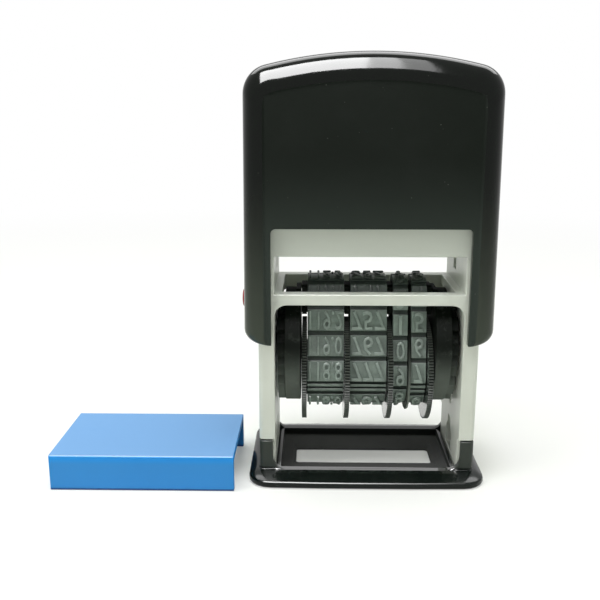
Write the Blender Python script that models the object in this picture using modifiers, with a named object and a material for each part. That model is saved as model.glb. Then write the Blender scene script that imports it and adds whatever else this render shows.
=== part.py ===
"""Self-inking date stamp, with its ink pad taken out and laid beside it.

A hood slides down over a skeleton frame that stands on a foot. The print unit hangs on two
trunnions in the hood's tongues and turns over as the hood goes down. It carries four rubber
date bands, each driven by a toothed setting wheel. Lengths are in metres, +Z is up, and X = 0
and Y = 0 are the middle of the stamp and pad together. The stamp's own pieces are built about
the middle of its foot and hang from the empty named stamp.
"""
import math

import bmesh
import bpy
from mathutils import Matrix, Vector

# Shared clearances
SEAT_GAP = 0.0003
SLIDE_GAP = 0.00025
TURN_GAP = 0.00015
OVERRUN = 0.0010
MERGE_DISTANCE = 0.000001
MERGE_OVERLAP = 0.0002
FLAT_ANGLE = math.radians(1)

# Skeleton frame
FRAME_WIDTH = 0.0404
FRAME_DEPTH = 0.0212
FRAME_SIDE_WALL = 0.0030
FRAME_WALL = 0.0026
FRAME_CORNER = 0.0009
MID_BAR_HEIGHT = 0.0020
PAD_WINDOW_HEIGHT = 0.0069
LOWER_WINDOW_CORNER = 0.0022
REAR_BAR_DROP = 0.0010
LEDGE_WIDTH = 0.00136
PAD_CEILING = 0.0020
LOFT_HEIGHT = 0.0128
LOFT_SKIN = 0.0007
CHANNEL_FOOT_GAP = 0.0005
DETENT_WIDTH = 0.0026
DETENT_DEPTH = 0.0010
DETENT_PLACE = 0.0016
DETENT_RISE = 0.0026
LATCH_WIDTH = 0.0054
LATCH_NECK_WIDTH = 0.0026
LATCH_RISE = 0.0003
LATCH_BODY = 0.0038
LATCH_SHOULDER = 0.0012
LATCH_NECK = 0.0015
TRUNNION_SLOT_GAP = 0.0002
SPRING_POST_RADIUS = 0.0034
SPRING_POST_DROP = 0.0010

# Foot
FOOT_FLANGE_SIDE = 0.00205
FOOT_FLANGE_FRONT = 0.0038
FOOT_BOW = 0.0004
FOOT_CORNER = 0.0042
FOOT_EDGE = 0.0014
FOOT_EDGE_ROUND = 0.0003
FOOT_FLOOR = 0.0010
RIM_TOP = 0.0023
RIM_THICKNESS = 0.0013
RIM_LAP = 0.0010
SOCKET_TOP = 0.0080
SOCKET_WALL = 0.0011
SOCKET_MOUTH_LAP = 0.0025
SOCKET_CURVE = 0.0024
PRINT_WINDOW_MARGIN = 0.00117
PRINT_WINDOW_DEPTH = 0.0064
PRINT_WINDOW_LIP = 0.0003
PRINT_WINDOW_CORNER = 0.0006
PRINT_SLOPE_X = 0.0008
PRINT_SLOPE_Y = 0.0030

# Hood
HOOD_SIDE_GAP = 0.0006
HOOD_FRONT_GAP = 0.0004
HOOD_WALL = 0.0016
HOOD_HEADROOM = 0.0069
HOOD_TOP_WALL = 0.0018
HOOD_ARCH = 0.0780
HOOD_DRAFT = 0.0004
HOOD_CORNER = 0.0050
HOOD_SIDE_FILLET = 0.0037
HOOD_TOP_FILLET = 0.0053
HOOD_INNER_CORNER = 0.0010
PANEL_MARGIN = 0.0039
PANEL_DROP = 0.0054
PANEL_ARCH = 0.0790
PANEL_RECESS = 0.0002
ARM_RISE = 0.0022
ARM_CORNER = 0.0025
CUTOUT_LAP = 0.0025
CUTOUT_CLEARANCE = 0.0004
CUTOUT_CORNER = 0.0009
TONGUE_WIDTH = 0.0072
TONGUE_THICKNESS = 0.0011
TONGUE_GAP = 0.0007
TONGUE_SIDE_GAP = 0.0006
TONGUE_RISE = 0.0056
TONGUE_HEEL = 0.0026
TONGUE_WEB = 0.0030

# Lock buttons in the hood's arms
BUTTON_RISE = 0.0083
BUTTON_TRAVEL = 0.0010
BUTTON_CAP_RADIUS = 0.0020
BUTTON_SHANK_RADIUS = 0.0015
BUTTON_FLANGE_RADIUS = 0.0022
BUTTON_FLANGE_THICKNESS = 0.0005
BUTTON_NOSE = 0.0002
BUTTON_NECK = 0.0005
BUTTON_REACH = 0.0010
BUTTON_DOME = 0.0005
COLLAR_RADIUS = 0.0029
COLLAR_HEIGHT = 0.0006
COLLAR_ROUND = 0.0003

# Print unit: flip axis, cheeks, axle and bridge
FLIP_AXIS_HEIGHT = 0.0250
PRINT_RADIUS = 0.0133
RELIEF = 0.0005
AXLE_DROP = 0.00575
CHEEK_SIDE_GAP = 0.00035
CHEEK_LENGTH = 0.0029
CHEEK_STACK_GAP = 0.00025
CHEEK_FRONT_GAP = 0.0003
CHEEK_HEEL_RADIUS = 0.00635
RATCHET_RADIUS = 0.0090
RATCHET_WIDTH = 0.00145
RATCHET_TEETH = 12
RATCHET_DEPTH = 0.0011
EAR_WIDTH = 0.0070
EAR_THICKNESS = 0.0009
EAR_DROP = 0.0021
TRUNNION_RADIUS = 0.0012
TRUNNION_SET = 0.0001
AXLE_RADIUS = 0.0015
AXLE_SEAT = 0.0025
BRIDGE_HALF_WIDTH = 0.0016
BRIDGE_ROUND = 0.0008
BRIDGE_GAP = 0.0016
TENON_WIDTH = 0.0020
PARTITION_WIDTH = 0.0066
PARTITION_DROP = 0.0003

# Date bands, divider and setting wheels
BAND_THICKNESS = 0.00075
BAND_CELL_HEIGHT = 0.0006
BAND_CELL_PITCH = 0.00485
BAND_GROOVE = 0.00085
BAND_BLANK = 0.0020
BAND_RIBS = 2
BAND_HUB_RADIUS = 0.0056
BAND_PHASES = (0.0010, 0.0010, 0.0019, 0.0013)
BAND_FRONT_CELLS = (4, 4, 8, 4)
YEAR_TENS_BAND = 0.00275
YEAR_UNITS_BAND = 0.00285
DIVIDER_THICKNESS = 0.0004
DIVIDER_RADIUS = 0.0082
DIVIDER_NECK = 0.0016
WHEEL_RADIUS = 0.0100
WHEEL_THICKNESS = 0.0009
WHEEL_TEETH = 60
WHEEL_TOOTH_DEPTH = 0.0004
WHEEL_FACE_GAP = 0.00014

# Return spring
SPRING_RADIUS = 0.0046
SPRING_WIRE = 0.00045
SPRING_TURNS = 7

# Ink pad, lying beside the stamp
TRAY_WALL = 0.0012
TRAY_EDGE = 0.0003
TRAY_SIDE_GAP = 0.0001
TRAY_FRONT_GAP = 0.00005
TRAY_APART = 0.0024
TRAY_FORWARD = 0.0048
TRAY_END_INSET = 0.0016
TRAY_NOTCH_HEIGHT = 0.0042
TRAY_NOTCH_MARGIN = 0.0034
FELT_RECESS = 0.0017
FELT_GAP = 0.0003

# Steps round curves, and shares
ARC_STEPS = 5
ROUND_SIDES = 24
CHEEK_STEPS = 12
HOOD_ARCH_STEPS = 10
HOOD_FILLET_STEPS = 4
FOOT_EDGE_STEPS = 4
SPRING_POINTS = 10
BELT_STEP = 0.0010
ROUND_END_SHARE = 0.95
RIB_SHARE = 0.55
RIB_LEAD_SHARE = 0.35
TENON_SHARES = (0.3, 0.65)
DIVIDER_TOP_SHARE = 0.7
HOOD_CEILING_SHARES = (
    (1.06, 1.0, 1.0),
    (0.58, 0.96, 0.93),
    (0.3, 0.84, 0.8),
    (0.11, 0.65, 0.67),
    (0.0, 0.38, 0.5),
)
BUTTON_DOME_SHARE = 0.75
RATCHET_SHARES = ((0.0, 0.0), (0.5, 0.0), (0.56, 1.0), (0.72, 1.0), (0.98, 0.0))
RATCHET_SHIFT_SHARE = 0.617
WHEEL_TOOTH_SHARES = ((0.0, 1.0), (0.3, 0.0), (0.7, 0.0))

# Heights that follow from the sizes above
STROKE = FLIP_AXIS_HEIGHT - PRINT_RADIUS
WHEEL_AXLE_HEIGHT = FLIP_AXIS_HEIGHT - AXLE_DROP
BAND_FACE = FLIP_AXIS_HEIGHT + PRINT_RADIUS - RELIEF
BRIDGE_TOP = BAND_FACE - BAND_CELL_HEIGHT - BAND_THICKNESS - TURN_GAP
BRIDGE_BOTTOM = WHEEL_AXLE_HEIGHT + WHEEL_RADIUS + BRIDGE_GAP
MID_BAR_BOTTOM = FLIP_AXIS_HEIGHT + RATCHET_RADIUS + SEAT_GAP
MID_BAR_TOP = MID_BAR_BOTTOM + MID_BAR_HEIGHT
PAD_WINDOW_TOP = MID_BAR_TOP + PAD_WINDOW_HEIGHT
LOFT_FLOOR = PAD_WINDOW_TOP + PAD_CEILING
FRAME_TOP = LOFT_FLOOR + LOFT_HEIGHT
HOOD_CEILING = FRAME_TOP + STROKE + HOOD_HEADROOM
HOOD_TOP = HOOD_CEILING + HOOD_TOP_WALL
ARM_BOTTOM = FLIP_AXIS_HEIGHT + ARM_RISE
CUTOUT_TOP = MID_BAR_TOP + STROKE + CUTOUT_CLEARANCE
TONGUE_TOP = FLIP_AXIS_HEIGHT + TONGUE_RISE
TONGUE_BOTTOM = FLIP_AXIS_HEIGHT - TONGUE_HEEL
BUTTON_HEIGHT = FLIP_AXIS_HEIGHT + BUTTON_RISE
BUTTON_DRAFT = HOOD_DRAFT * (HOOD_TOP - BUTTON_HEIGHT) / (HOOD_TOP - ARM_BOTTOM)

# Half widths and half depths that follow, from the frame outward and inward
FRAME_SIDE = FRAME_WIDTH / 2
FRAME_FRONT = FRAME_DEPTH / 2
FRAME_INNER_SIDE = FRAME_SIDE - FRAME_SIDE_WALL
FRAME_INNER_FRONT = FRAME_FRONT - FRAME_WALL
HOOD_INNER_SIDE = FRAME_SIDE + HOOD_SIDE_GAP
HOOD_INNER_FRONT = FRAME_FRONT + HOOD_FRONT_GAP
HOOD_SIDE = HOOD_INNER_SIDE + HOOD_WALL
HOOD_FRONT = HOOD_INNER_FRONT + HOOD_WALL
TONGUE_OUTER = HOOD_INNER_SIDE - TONGUE_GAP
TONGUE_INNER = TONGUE_OUTER - TONGUE_THICKNESS
CHANNEL_SIDE = TONGUE_INNER - SEAT_GAP
CHANNEL_FRONT = TONGUE_WIDTH / 2 + TONGUE_SIDE_GAP
FOOT_SIDE = FRAME_SIDE + FOOT_FLANGE_SIDE
FOOT_FRONT = FRAME_FRONT + FOOT_FLANGE_FRONT
CHEEK_OUTER = FRAME_INNER_SIDE - CHEEK_SIDE_GAP
CHEEK_STEP = CHEEK_OUTER - RATCHET_WIDTH
CHEEK_INNER = CHEEK_STEP - CHEEK_LENGTH
STACK_SIDE = CHEEK_INNER - CHEEK_STACK_GAP
TRUNNION_END = TONGUE_OUTER - TRUNNION_SET
CHEEK_RADIUS = FRAME_FRONT - CHEEK_FRONT_GAP
BUTTON_FACE = HOOD_SIDE + BUTTON_DRAFT
BUTTON_END = BUTTON_FACE + BUTTON_REACH
TRAY_SIDE = FRAME_INNER_SIDE - TRAY_SIDE_GAP
TRAY_FRONT = FRAME_FRONT - TRAY_FRONT_GAP
STAMP_X = (FOOT_SIDE + TRAY_APART + 2 * TRAY_SIDE - BUTTON_END) / 2
STAMP_Y = (TRAY_FORWARD + TRAY_FRONT - FOOT_FRONT) / 2
TRAY_X = STAMP_X - FOOT_SIDE - TRAY_APART - TRAY_SIDE
TRAY_Y = STAMP_Y - TRAY_FORWARD

PARTS = "date_stamp"
CUTTERS = "cutters"

AXIS_TURNS = {
    "X": Matrix(((0, 0, 1), (1, 0, 0), (0, 1, 0))).to_4x4(),
    "Y": Matrix(((1, 0, 0), (0, 0, -1), (0, 1, 0))).to_4x4(),
    "Z": Matrix.Identity(4),
}


def clear_scene():
    for item in list(bpy.data.objects):
        bpy.data.objects.remove(item, do_unlink=True)


def collection(name):
    found = bpy.data.collections.get(name)
    if found is None:
        found = bpy.data.collections.new(name)
        bpy.context.scene.collection.children.link(found)
    return found


def plastic(name, colour, roughness, metallic=0.0):
    material = bpy.data.materials.new(name)
    material.use_nodes = True
    shader = material.node_tree.nodes["Principled BSDF"]
    shader.inputs["Base Color"].default_value = (*colour, 1.0)
    shader.inputs["Roughness"].default_value = roughness
    shader.inputs["Metallic"].default_value = metallic
    return material


def add_object(name, mesh, group=PARTS, material=None, parent=None, location=(0, 0, 0)):
    item = bpy.data.objects.new(name, mesh)
    collection(group).objects.link(item)
    item.location = location
    if parent is not None:
        item.parent = parent
    if material is not None:
        mesh.materials.clear()
        mesh.materials.append(material)
    if group == CUTTERS:
        item.hide_render = True
        item.display_type = "WIRE"
    return item


def add_empty(name, location, parent=None):
    item = bpy.data.objects.new(name, None)
    collection(PARTS).objects.link(item)
    item.location = location
    if parent is not None:
        item.parent = parent
    return item


def mesh_from(form):
    bmesh.ops.recalc_face_normals(form, faces=form.faces)
    mesh = bpy.data.meshes.new("shape")
    form.to_mesh(mesh)
    form.free()
    return mesh


def box(low, high):
    """A block between two opposite corners."""
    form = bmesh.new()
    size = Vector(high) - Vector(low)
    middle = (Vector(high) + Vector(low)) / 2
    bmesh.ops.create_cube(form, size=1.0, matrix=Matrix.Translation(middle) @ Matrix.Diagonal((*size, 1.0)))
    return mesh_from(form)


def cylinder(axis, centre, radius, low, high, sides=ROUND_SIDES):
    """A round bar along an axis; centre holds the other two coordinates."""
    form = bmesh.new()
    length = high - low
    bmesh.ops.create_cone(form, cap_ends=True, segments=sides, radius1=radius, radius2=radius, depth=length)
    shift = (low + high) / 2 if axis != "Y" else -(low + high) / 2
    place = Matrix.Translation((centre[0], centre[1], shift))
    bmesh.ops.transform(form, matrix=AXIS_TURNS[axis] @ place, verts=form.verts)
    return mesh_from(form)


def prism(axis, outlines, low, high):
    """Flat outlines pushed along an axis; further outlines inside the first are holes."""
    curve = bpy.data.curves.new("outline", "CURVE")
    curve.dimensions = "2D"
    curve.fill_mode = "BOTH"
    curve.extrude = (high - low) / 2
    for points in outlines:
        spline = curve.splines.new("POLY")
        spline.points.add(len(points) - 1)
        for place, (across, up) in zip(spline.points, points):
            place.co = (across, up, 0.0, 1.0)
        spline.use_cyclic_u = True
    holder = add_object("outline", curve, CUTTERS)
    bpy.context.view_layer.update()
    solid = bpy.data.meshes.new_from_object(holder.evaluated_get(bpy.context.evaluated_depsgraph_get()))
    bpy.data.objects.remove(holder, do_unlink=True)
    form = bmesh.new()
    form.from_mesh(solid)
    bmesh.ops.remove_doubles(form, verts=form.verts, dist=MERGE_DISTANCE)
    shift = (low + high) / 2 if axis != "Y" else -(low + high) / 2
    bmesh.ops.transform(form, matrix=AXIS_TURNS[axis] @ Matrix.Translation((0, 0, shift)), verts=form.verts)
    return mesh_from(form)


def loft(rings):
    """A closed solid through rings of the same number of points."""
    form = bmesh.new()
    loops = [[form.verts.new(place) for place in ring] for ring in rings]
    count = len(loops[0])
    for first, second in zip(loops, loops[1:]):
        for index in range(count):
            following = (index + 1) % count
            form.faces.new((first[index], first[following], second[following], second[index]))
    form.faces.new(loops[0])
    form.faces.new(loops[-1])
    return mesh_from(form)


def boolean(target, mesh, operation="DIFFERENCE", location=(0, 0, 0)):
    """Cut a shape from a piece, or join it on."""
    cutter = add_object(f"{target.name}_{operation.lower()}", mesh, CUTTERS, location=location)
    if target.parent is not None:
        cutter.parent = target.parent
    cutter.location = Vector(target.location) + Vector(location)
    change = target.modifiers.new(operation.title(), "BOOLEAN")
    change.operation = operation
    change.solver = "EXACT"
    change.object = cutter
    return cutter


def arc(centre, radius, start, end, steps=ARC_STEPS):
    """Points along an arc, from a start angle to an end angle in degrees."""
    points = []
    for step in range(steps + 1):
        angle = math.radians(start + (end - start) * step / steps)
        points.append((centre[0] + radius * math.cos(angle), centre[1] + radius * math.sin(angle)))
    return points


def round_box(half_across, low, high, radii, steps=ARC_STEPS):
    """A symmetric upright outline with one radius for its bottom and one for its top corners."""
    bottom, top = radii
    points = []
    corners = ((1, bottom, low, -90), (1, top, high, 0), (-1, top, high, 90), (-1, bottom, low, 180))
    for side, radius, height, start in corners:
        inward = 1 if height == low else -1
        if radius > 0:
            centre = (side * (half_across - radius), height + inward * radius)
            points += arc(centre, radius, start, start + 90, steps)
        else:
            points.append((side * half_across, height))
    return points


def round_rect(half_across, half_deep, radius, steps=ARC_STEPS):
    return round_box(half_across, -half_deep, half_deep, (radius, radius), steps)


def hull_outline(circles, steps=ARC_STEPS):
    """The belt round a set of circles, each given as (across, up, radius), as a list of points."""
    points = []
    for across, up, radius in circles:
        for step in range(steps * 4):
            angle = 2 * math.pi * step / (steps * 4)
            points.append((across + radius * math.cos(angle), up + radius * math.sin(angle)))
    form = bmesh.new()
    corners = [form.verts.new((across, up, 0.0)) for across, up in points]
    bmesh.ops.convex_hull(form, input=corners)
    used = [vert.co.copy() for vert in form.verts if vert.link_faces]
    form.free()
    middle = sum(used, Vector()) / len(used)
    used.sort(key=lambda place: math.atan2(place.y - middle.y, place.x - middle.x))
    return [(place.x, place.y) for place in used]


def smooth(item, angle=35):
    item.data.shade_smooth()
    item.data.set_sharp_from_angle(angle=math.radians(angle))


def footprint(half_across, half_deep, radius, bow):
    """A rounded rectangle whose front and rear edges bow outward."""
    points = []
    corners = round_rect(half_across, half_deep, radius)
    quarter = len(corners) // 4
    for index, (across, deep) in enumerate(corners):
        points.append((across, deep))
        if index in (quarter * 2 - 1, len(corners) - 1):
            following = corners[(index + 1) % len(corners)]
            for step in range(1, FOOT_EDGE_STEPS):
                share = step / FOOT_EDGE_STEPS
                points.append((across + (following[0] - across) * share, deep))
    bowed = []
    for across, deep in points:
        share = 1 - (across / half_across) ** 2
        bowed.append((across, deep + math.copysign(bow * share, deep)))
    return bowed


def at_height(outline, height):
    return [(across, deep, height) for across, deep in outline]


def make_foot(stamp, black):
    """The foot: a sloping flange, a ring of sockets for the frame's legs and the print window."""
    half_x = FOOT_SIDE
    half_y = FOOT_FRONT - FOOT_BOW
    side = FRAME_SIDE
    deep = FRAME_FRONT
    rounding = FOOT_EDGE_ROUND
    full = footprint(half_x, half_y, FOOT_CORNER, FOOT_BOW)
    eased = footprint(half_x - rounding, half_y - rounding, FOOT_CORNER - rounding, FOOT_BOW)
    rings = [
        at_height(eased, 0),
        at_height(full, rounding),
        at_height(full, FOOT_EDGE - rounding),
        at_height(eased, FOOT_EDGE),
        at_height(footprint(side + rounding, deep + rounding, FRAME_CORNER + rounding, 0), RIM_TOP),
    ]
    foot = add_object("base_foot", loft(rings), material=black, parent=stamp)
    tower = prism("Z", [round_rect(side, deep, FRAME_CORNER)], FOOT_FLOOR, SOCKET_TOP)
    boolean(foot, tower, "UNION")
    wall = SOCKET_WALL
    boolean(foot, box((wall - side, wall - deep, RIM_TOP), (side - wall, deep - wall, SOCKET_TOP + OVERRUN)))
    mouth = round_box(side - SOCKET_MOUTH_LAP, RIM_TOP, SOCKET_TOP + OVERRUN, (SOCKET_CURVE, 0))
    boolean(foot, prism("Y", [mouth], -deep - OVERRUN, deep + OVERRUN))
    inner = deep - RIM_THICKNESS
    rim = FRAME_INNER_SIDE - RIM_LAP
    boolean(foot, box((-rim, -inner, FOOT_FLOOR), (rim, inner, RIM_TOP + OVERRUN)))
    leg_inner = FRAME_INNER_SIDE - SEAT_GAP
    for way in (-1, 1):
        ends = sorted((way * leg_inner, way * (side - wall)))
        pocket = box((ends[0], wall - deep, FOOT_FLOOR), (ends[1], deep - wall, RIM_TOP + OVERRUN))
        boolean(foot, pocket)
    window_x = STACK_SIDE + PRINT_WINDOW_MARGIN
    window_y = PRINT_WINDOW_DEPTH / 2
    slope_x = window_x + PRINT_SLOPE_X
    slope_y = window_y + PRINT_SLOPE_Y
    funnel = [
        at_height(round_rect(window_x, window_y, PRINT_WINDOW_CORNER), -OVERRUN),
        at_height(round_rect(window_x, window_y, PRINT_WINDOW_CORNER), PRINT_WINDOW_LIP),
        at_height(round_rect(slope_x, slope_y, PRINT_WINDOW_CORNER), FOOT_FLOOR),
        at_height(round_rect(slope_x, slope_y, PRINT_WINDOW_CORNER), FOOT_FLOOR + OVERRUN / 2),
    ]
    boolean(foot, loft(funnel))
    return foot


def make_frame(stamp, grey):
    """The skeleton frame: two legs, two mid bars, the pad's window and the loft for the spring."""
    side = FRAME_SIDE
    deep = FRAME_FRONT
    shoulder = SOCKET_TOP + SEAT_GAP
    upper = prism("Z", [round_rect(side, deep, FRAME_CORNER)], shoulder, FRAME_TOP)
    frame = add_object("skeleton_frame", upper, material=grey, parent=stamp)
    step = SOCKET_WALL + SEAT_GAP
    lower_outline = round_rect(side - step, deep - step, SEAT_GAP, 2)
    lower = prism("Z", [lower_outline], FOOT_FLOOR + SEAT_GAP, shoulder + OVERRUN)
    boolean(frame, lower, "UNION")
    inner_x = FRAME_INNER_SIDE
    inner_y = FRAME_INNER_FRONT
    ledge_x = inner_x - LEDGE_WIDTH
    boolean(frame, box((-inner_x, -inner_y, -OVERRUN), (inner_x, inner_y, MID_BAR_BOTTOM)))
    opening_low = MID_BAR_BOTTOM - OVERRUN
    opening_high = MID_BAR_TOP + OVERRUN
    boolean(frame, box((-ledge_x, -inner_y, opening_low), (ledge_x, inner_y, opening_high)))
    through = deep + OVERRUN
    boolean(frame, box((-inner_x, -through, MID_BAR_TOP), (inner_x, through, PAD_WINDOW_TOP)))
    for top, start, end in ((MID_BAR_BOTTOM, -through, 0), (MID_BAR_BOTTOM - REAR_BAR_DROP, 0, through)):
        lower_window = round_box(inner_x, -OVERRUN, top, (0, LOWER_WINDOW_CORNER))
        boolean(frame, prism("Y", [lower_window], start, end))
    loft_x = CHANNEL_SIDE - LOFT_SKIN
    boolean(frame, box((-loft_x, -inner_y, LOFT_FLOOR), (loft_x, inner_y, FRAME_TOP + OVERRUN)))
    post_top = FRAME_TOP - SPRING_POST_DROP
    boolean(frame, cylinder("Z", (0, 0), SPRING_POST_RADIUS, LOFT_FLOOR - MERGE_OVERLAP, post_top), "UNION")
    slot = TRUNNION_RADIUS + TRUNNION_SLOT_GAP
    slot_ends = (slot * ROUND_END_SHARE, slot * ROUND_END_SHARE)
    slot_outline = round_box(slot, PRINT_RADIUS - slot, FLIP_AXIS_HEIGHT + slot, slot_ends)
    channel_bottom = TONGUE_BOTTOM - STROKE - CHANNEL_FOOT_GAP
    detent = DETENT_WIDTH / 2
    detent_bottom = MID_BAR_TOP + DETENT_RISE
    for way in (-1, 1):
        def span(first, second):
            return sorted((way * first, way * second))
        low, high = span(CHANNEL_SIDE, side + OVERRUN)
        channel_top = FRAME_TOP + OVERRUN
        boolean(frame, box((low, -CHANNEL_FRONT, channel_bottom), (high, CHANNEL_FRONT, channel_top)))
        boolean(frame, prism("X", [slot_outline], *span(inner_x - OVERRUN, CHANNEL_SIDE + OVERRUN)))
        low, high = span(inner_x - OVERRUN, inner_x + DETENT_DEPTH)
        detent_low = (low, DETENT_PLACE - detent, detent_bottom)
        boolean(frame, box(detent_low, (high, DETENT_PLACE + detent, PAD_WINDOW_TOP)))
        boolean(frame, prism("X", [latch_outline()], *span(inner_x - OVERRUN, side + OVERRUN)))
    return frame


def latch_outline():
    """The bottle-shaped opening low in each leg."""
    body = LATCH_WIDTH / 2
    neck = LATCH_NECK_WIDTH / 2
    bottom = RIM_TOP + LATCH_RISE
    shoulder = bottom + LATCH_BODY
    neck_bottom = shoulder + LATCH_SHOULDER
    top = neck_bottom + LATCH_NECK
    right = [(body, bottom), (body, shoulder), (neck, neck_bottom), (neck, top)]
    return right + [(-across, up) for across, up in reversed(right)]


def hood_ring(inset_side, inset_top, depth):
    """The hood's front outline at one depth, drawn in from its sides and its top, wider lower down."""
    half = HOOD_SIDE - inset_side
    top = HOOD_TOP - inset_top
    arch = HOOD_ARCH - HOOD_CORNER
    middle_x = half - HOOD_CORNER
    middle_z = top - HOOD_ARCH + math.sqrt(arch * arch - middle_x * middle_x)
    lean = math.degrees(math.asin(middle_x / arch))
    right = arc((half - ARM_CORNER, ARM_BOTTOM + ARM_CORNER), ARM_CORNER, -90, 0)
    right += arc((middle_x, middle_z), HOOD_CORNER, 0, 90 - lean)
    over = arc((0, top - HOOD_ARCH), HOOD_ARCH, 90 - lean, 90 + lean, HOOD_ARCH_STEPS)[1:-1]
    left = [(-across, up) for across, up in reversed(right)]
    ring = []
    for across, up in right + over + left:
        widening = 1 + HOOD_DRAFT / HOOD_SIDE * (HOOD_TOP - up) / (HOOD_TOP - ARM_BOTTOM)
        ring.append((across * widening, depth, up))
    return ring


def make_hood(stamp, black):
    """The hood: a domed shell with two arms, a recessed panel each side and a tongue in each arm."""
    deep = HOOD_FRONT
    rings = []
    for way in (-1, 1):
        side_rings = []
        for step in range(HOOD_FILLET_STEPS + 1):
            turn = math.radians(90 * step / HOOD_FILLET_STEPS)
            inset = 1 - math.sin(turn)
            depth = way * (deep - HOOD_SIDE_FILLET * (1 - math.cos(turn)))
            side_rings.append(hood_ring(HOOD_SIDE_FILLET * inset, HOOD_TOP_FILLET * inset, depth))
        rings += side_rings if way < 0 else side_rings[::-1]
    hood = add_object("hood_shell", loft(rings), material=black, parent=stamp)
    mouth = round_rect(HOOD_INNER_SIDE, HOOD_INNER_FRONT, HOOD_INNER_CORNER)
    hollow = [at_height(mouth, ARM_BOTTOM - OVERRUN)]
    for drop, share_x, share_y in HOOD_CEILING_SHARES:
        outline = round_rect(HOOD_INNER_SIDE * share_x, HOOD_INNER_FRONT * share_y, HOOD_INNER_CORNER)
        hollow.append(at_height(outline, HOOD_CEILING - drop * HOOD_TOP_FILLET))
    boolean(hood, loft(hollow))
    cutout = round_box(FRAME_SIDE - CUTOUT_LAP, ARM_BOTTOM - OVERRUN, CUTOUT_TOP, (0, CUTOUT_CORNER))
    boolean(hood, prism("Y", [cutout], -deep - OVERRUN, deep + OVERRUN))
    for way in (-1, 1):
        ends = sorted((way * (deep - PANEL_RECESS), way * (deep + OVERRUN)))
        boolean(hood, prism("Y", [panel_outline()], *ends))
    web = TONGUE_WIDTH / 2
    tongue = round_box(web, TONGUE_BOTTOM, TONGUE_TOP, (TONGUE_HEEL * ROUND_END_SHARE, 0))
    collar_end = BUTTON_FACE + COLLAR_HEIGHT
    neck = HOOD_INNER_SIDE + BUTTON_NECK
    shank = BUTTON_SHANK_RADIUS + TURN_GAP
    cap = BUTTON_CAP_RADIUS + TURN_GAP
    for way in (-1, 1):
        def span(first, second):
            return sorted((way * first, way * second))
        boolean(hood, prism("X", [tongue], *span(TONGUE_INNER, TONGUE_OUTER)), "UNION")
        low, high = span(TONGUE_OUTER - SEAT_GAP, HOOD_INNER_SIDE + SEAT_GAP)
        boolean(hood, box((low, -web, TONGUE_TOP - TONGUE_WEB), (high, web, TONGUE_TOP)), "UNION")
        hole_ends = span(TONGUE_INNER - OVERRUN, TONGUE_OUTER + SEAT_GAP)
        boolean(hood, cylinder("X", (0, FLIP_AXIS_HEIGHT), TRUNNION_RADIUS + TURN_GAP, *hole_ends))
        collar = [(HOOD_SIDE - COLLAR_ROUND, COLLAR_RADIUS), (collar_end - COLLAR_ROUND, COLLAR_RADIUS)]
        collar.append((collar_end, COLLAR_RADIUS - COLLAR_ROUND))
        boolean(hood, turned(way, BUTTON_HEIGHT, collar), "UNION")
        bore = [(HOOD_INNER_SIDE - OVERRUN, shank), (neck, shank), (neck, cap), (collar_end + OVERRUN, cap)]
        boolean(hood, turned(way, BUTTON_HEIGHT, bore))
    return hood


def panel_outline():
    """The matt panel on the hood's front and rear, with an arched top."""
    half = HOOD_SIDE - PANEL_MARGIN
    lean = math.degrees(math.asin(half / PANEL_ARCH))
    outline = arc((0, HOOD_TOP - PANEL_DROP - PANEL_ARCH), PANEL_ARCH, 90 - lean, 90 + lean, HOOD_ARCH_STEPS)
    return outline + [(-half, ARM_BOTTOM - OVERRUN), (half, ARM_BOTTOM - OVERRUN)]


def turned(way, height, profile, sides=ROUND_SIDES):
    """A turned solid along X, out to one side, from (place, radius) corners and a Screw modifier."""
    form = bmesh.new()
    ends = [(profile[0][0], 0)] + profile + [(profile[-1][0], 0)]
    corners = [form.verts.new((radius, 0, way * place)) for place, radius in ends]
    for first, second in zip(corners, corners[1:]):
        form.edges.new((first, second))
    line = bpy.data.meshes.new("profile")
    form.to_mesh(line)
    form.free()
    holder = add_object("profile", line, CUTTERS)
    sweep = holder.modifiers.new("Screw", "SCREW")
    sweep.axis = "Z"
    sweep.steps = sides
    sweep.render_steps = sides
    sweep.use_merge_vertices = True
    sweep.merge_threshold = MERGE_DISTANCE
    bpy.context.view_layer.update()
    solid = bpy.data.meshes.new_from_object(holder.evaluated_get(bpy.context.evaluated_depsgraph_get()))
    bpy.data.objects.remove(holder, do_unlink=True)
    form = bmesh.new()
    form.from_mesh(solid)
    bmesh.ops.remove_doubles(form, verts=form.verts, dist=MERGE_DISTANCE)
    bmesh.ops.dissolve_limit(form, angle_limit=FLAT_ANGLE, verts=form.verts, edges=form.edges)
    place = Matrix.Translation((0, 0, height)) @ AXIS_TURNS["X"]
    bmesh.ops.transform(form, matrix=place, verts=form.verts)
    return mesh_from(form)


def make_buttons(hood, red):
    """A sprung lock button in each arm, held in by a flange behind the wall."""
    flange = HOOD_INNER_SIDE - SLIDE_GAP
    cap = HOOD_INNER_SIDE + BUTTON_NECK + BUTTON_TRAVEL + SLIDE_GAP
    dome = BUTTON_END - BUTTON_DOME
    profile = [
        (flange - BUTTON_FLANGE_THICKNESS - BUTTON_NOSE, BUTTON_SHANK_RADIUS - BUTTON_NOSE),
        (flange - BUTTON_FLANGE_THICKNESS, BUTTON_FLANGE_RADIUS),
        (flange, BUTTON_FLANGE_RADIUS),
        (flange, BUTTON_SHANK_RADIUS),
        (cap, BUTTON_SHANK_RADIUS),
        (cap, BUTTON_CAP_RADIUS),
        (dome, BUTTON_CAP_RADIUS),
        (BUTTON_END, BUTTON_CAP_RADIUS * BUTTON_DOME_SHARE),
    ]
    for way, name in ((-1, "lock_button_left"), (1, "lock_button_right")):
        button = add_object(name, turned(way, 0, profile), material=red, parent=hood)
        button.location = (0, 0, BUTTON_HEIGHT)


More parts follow.
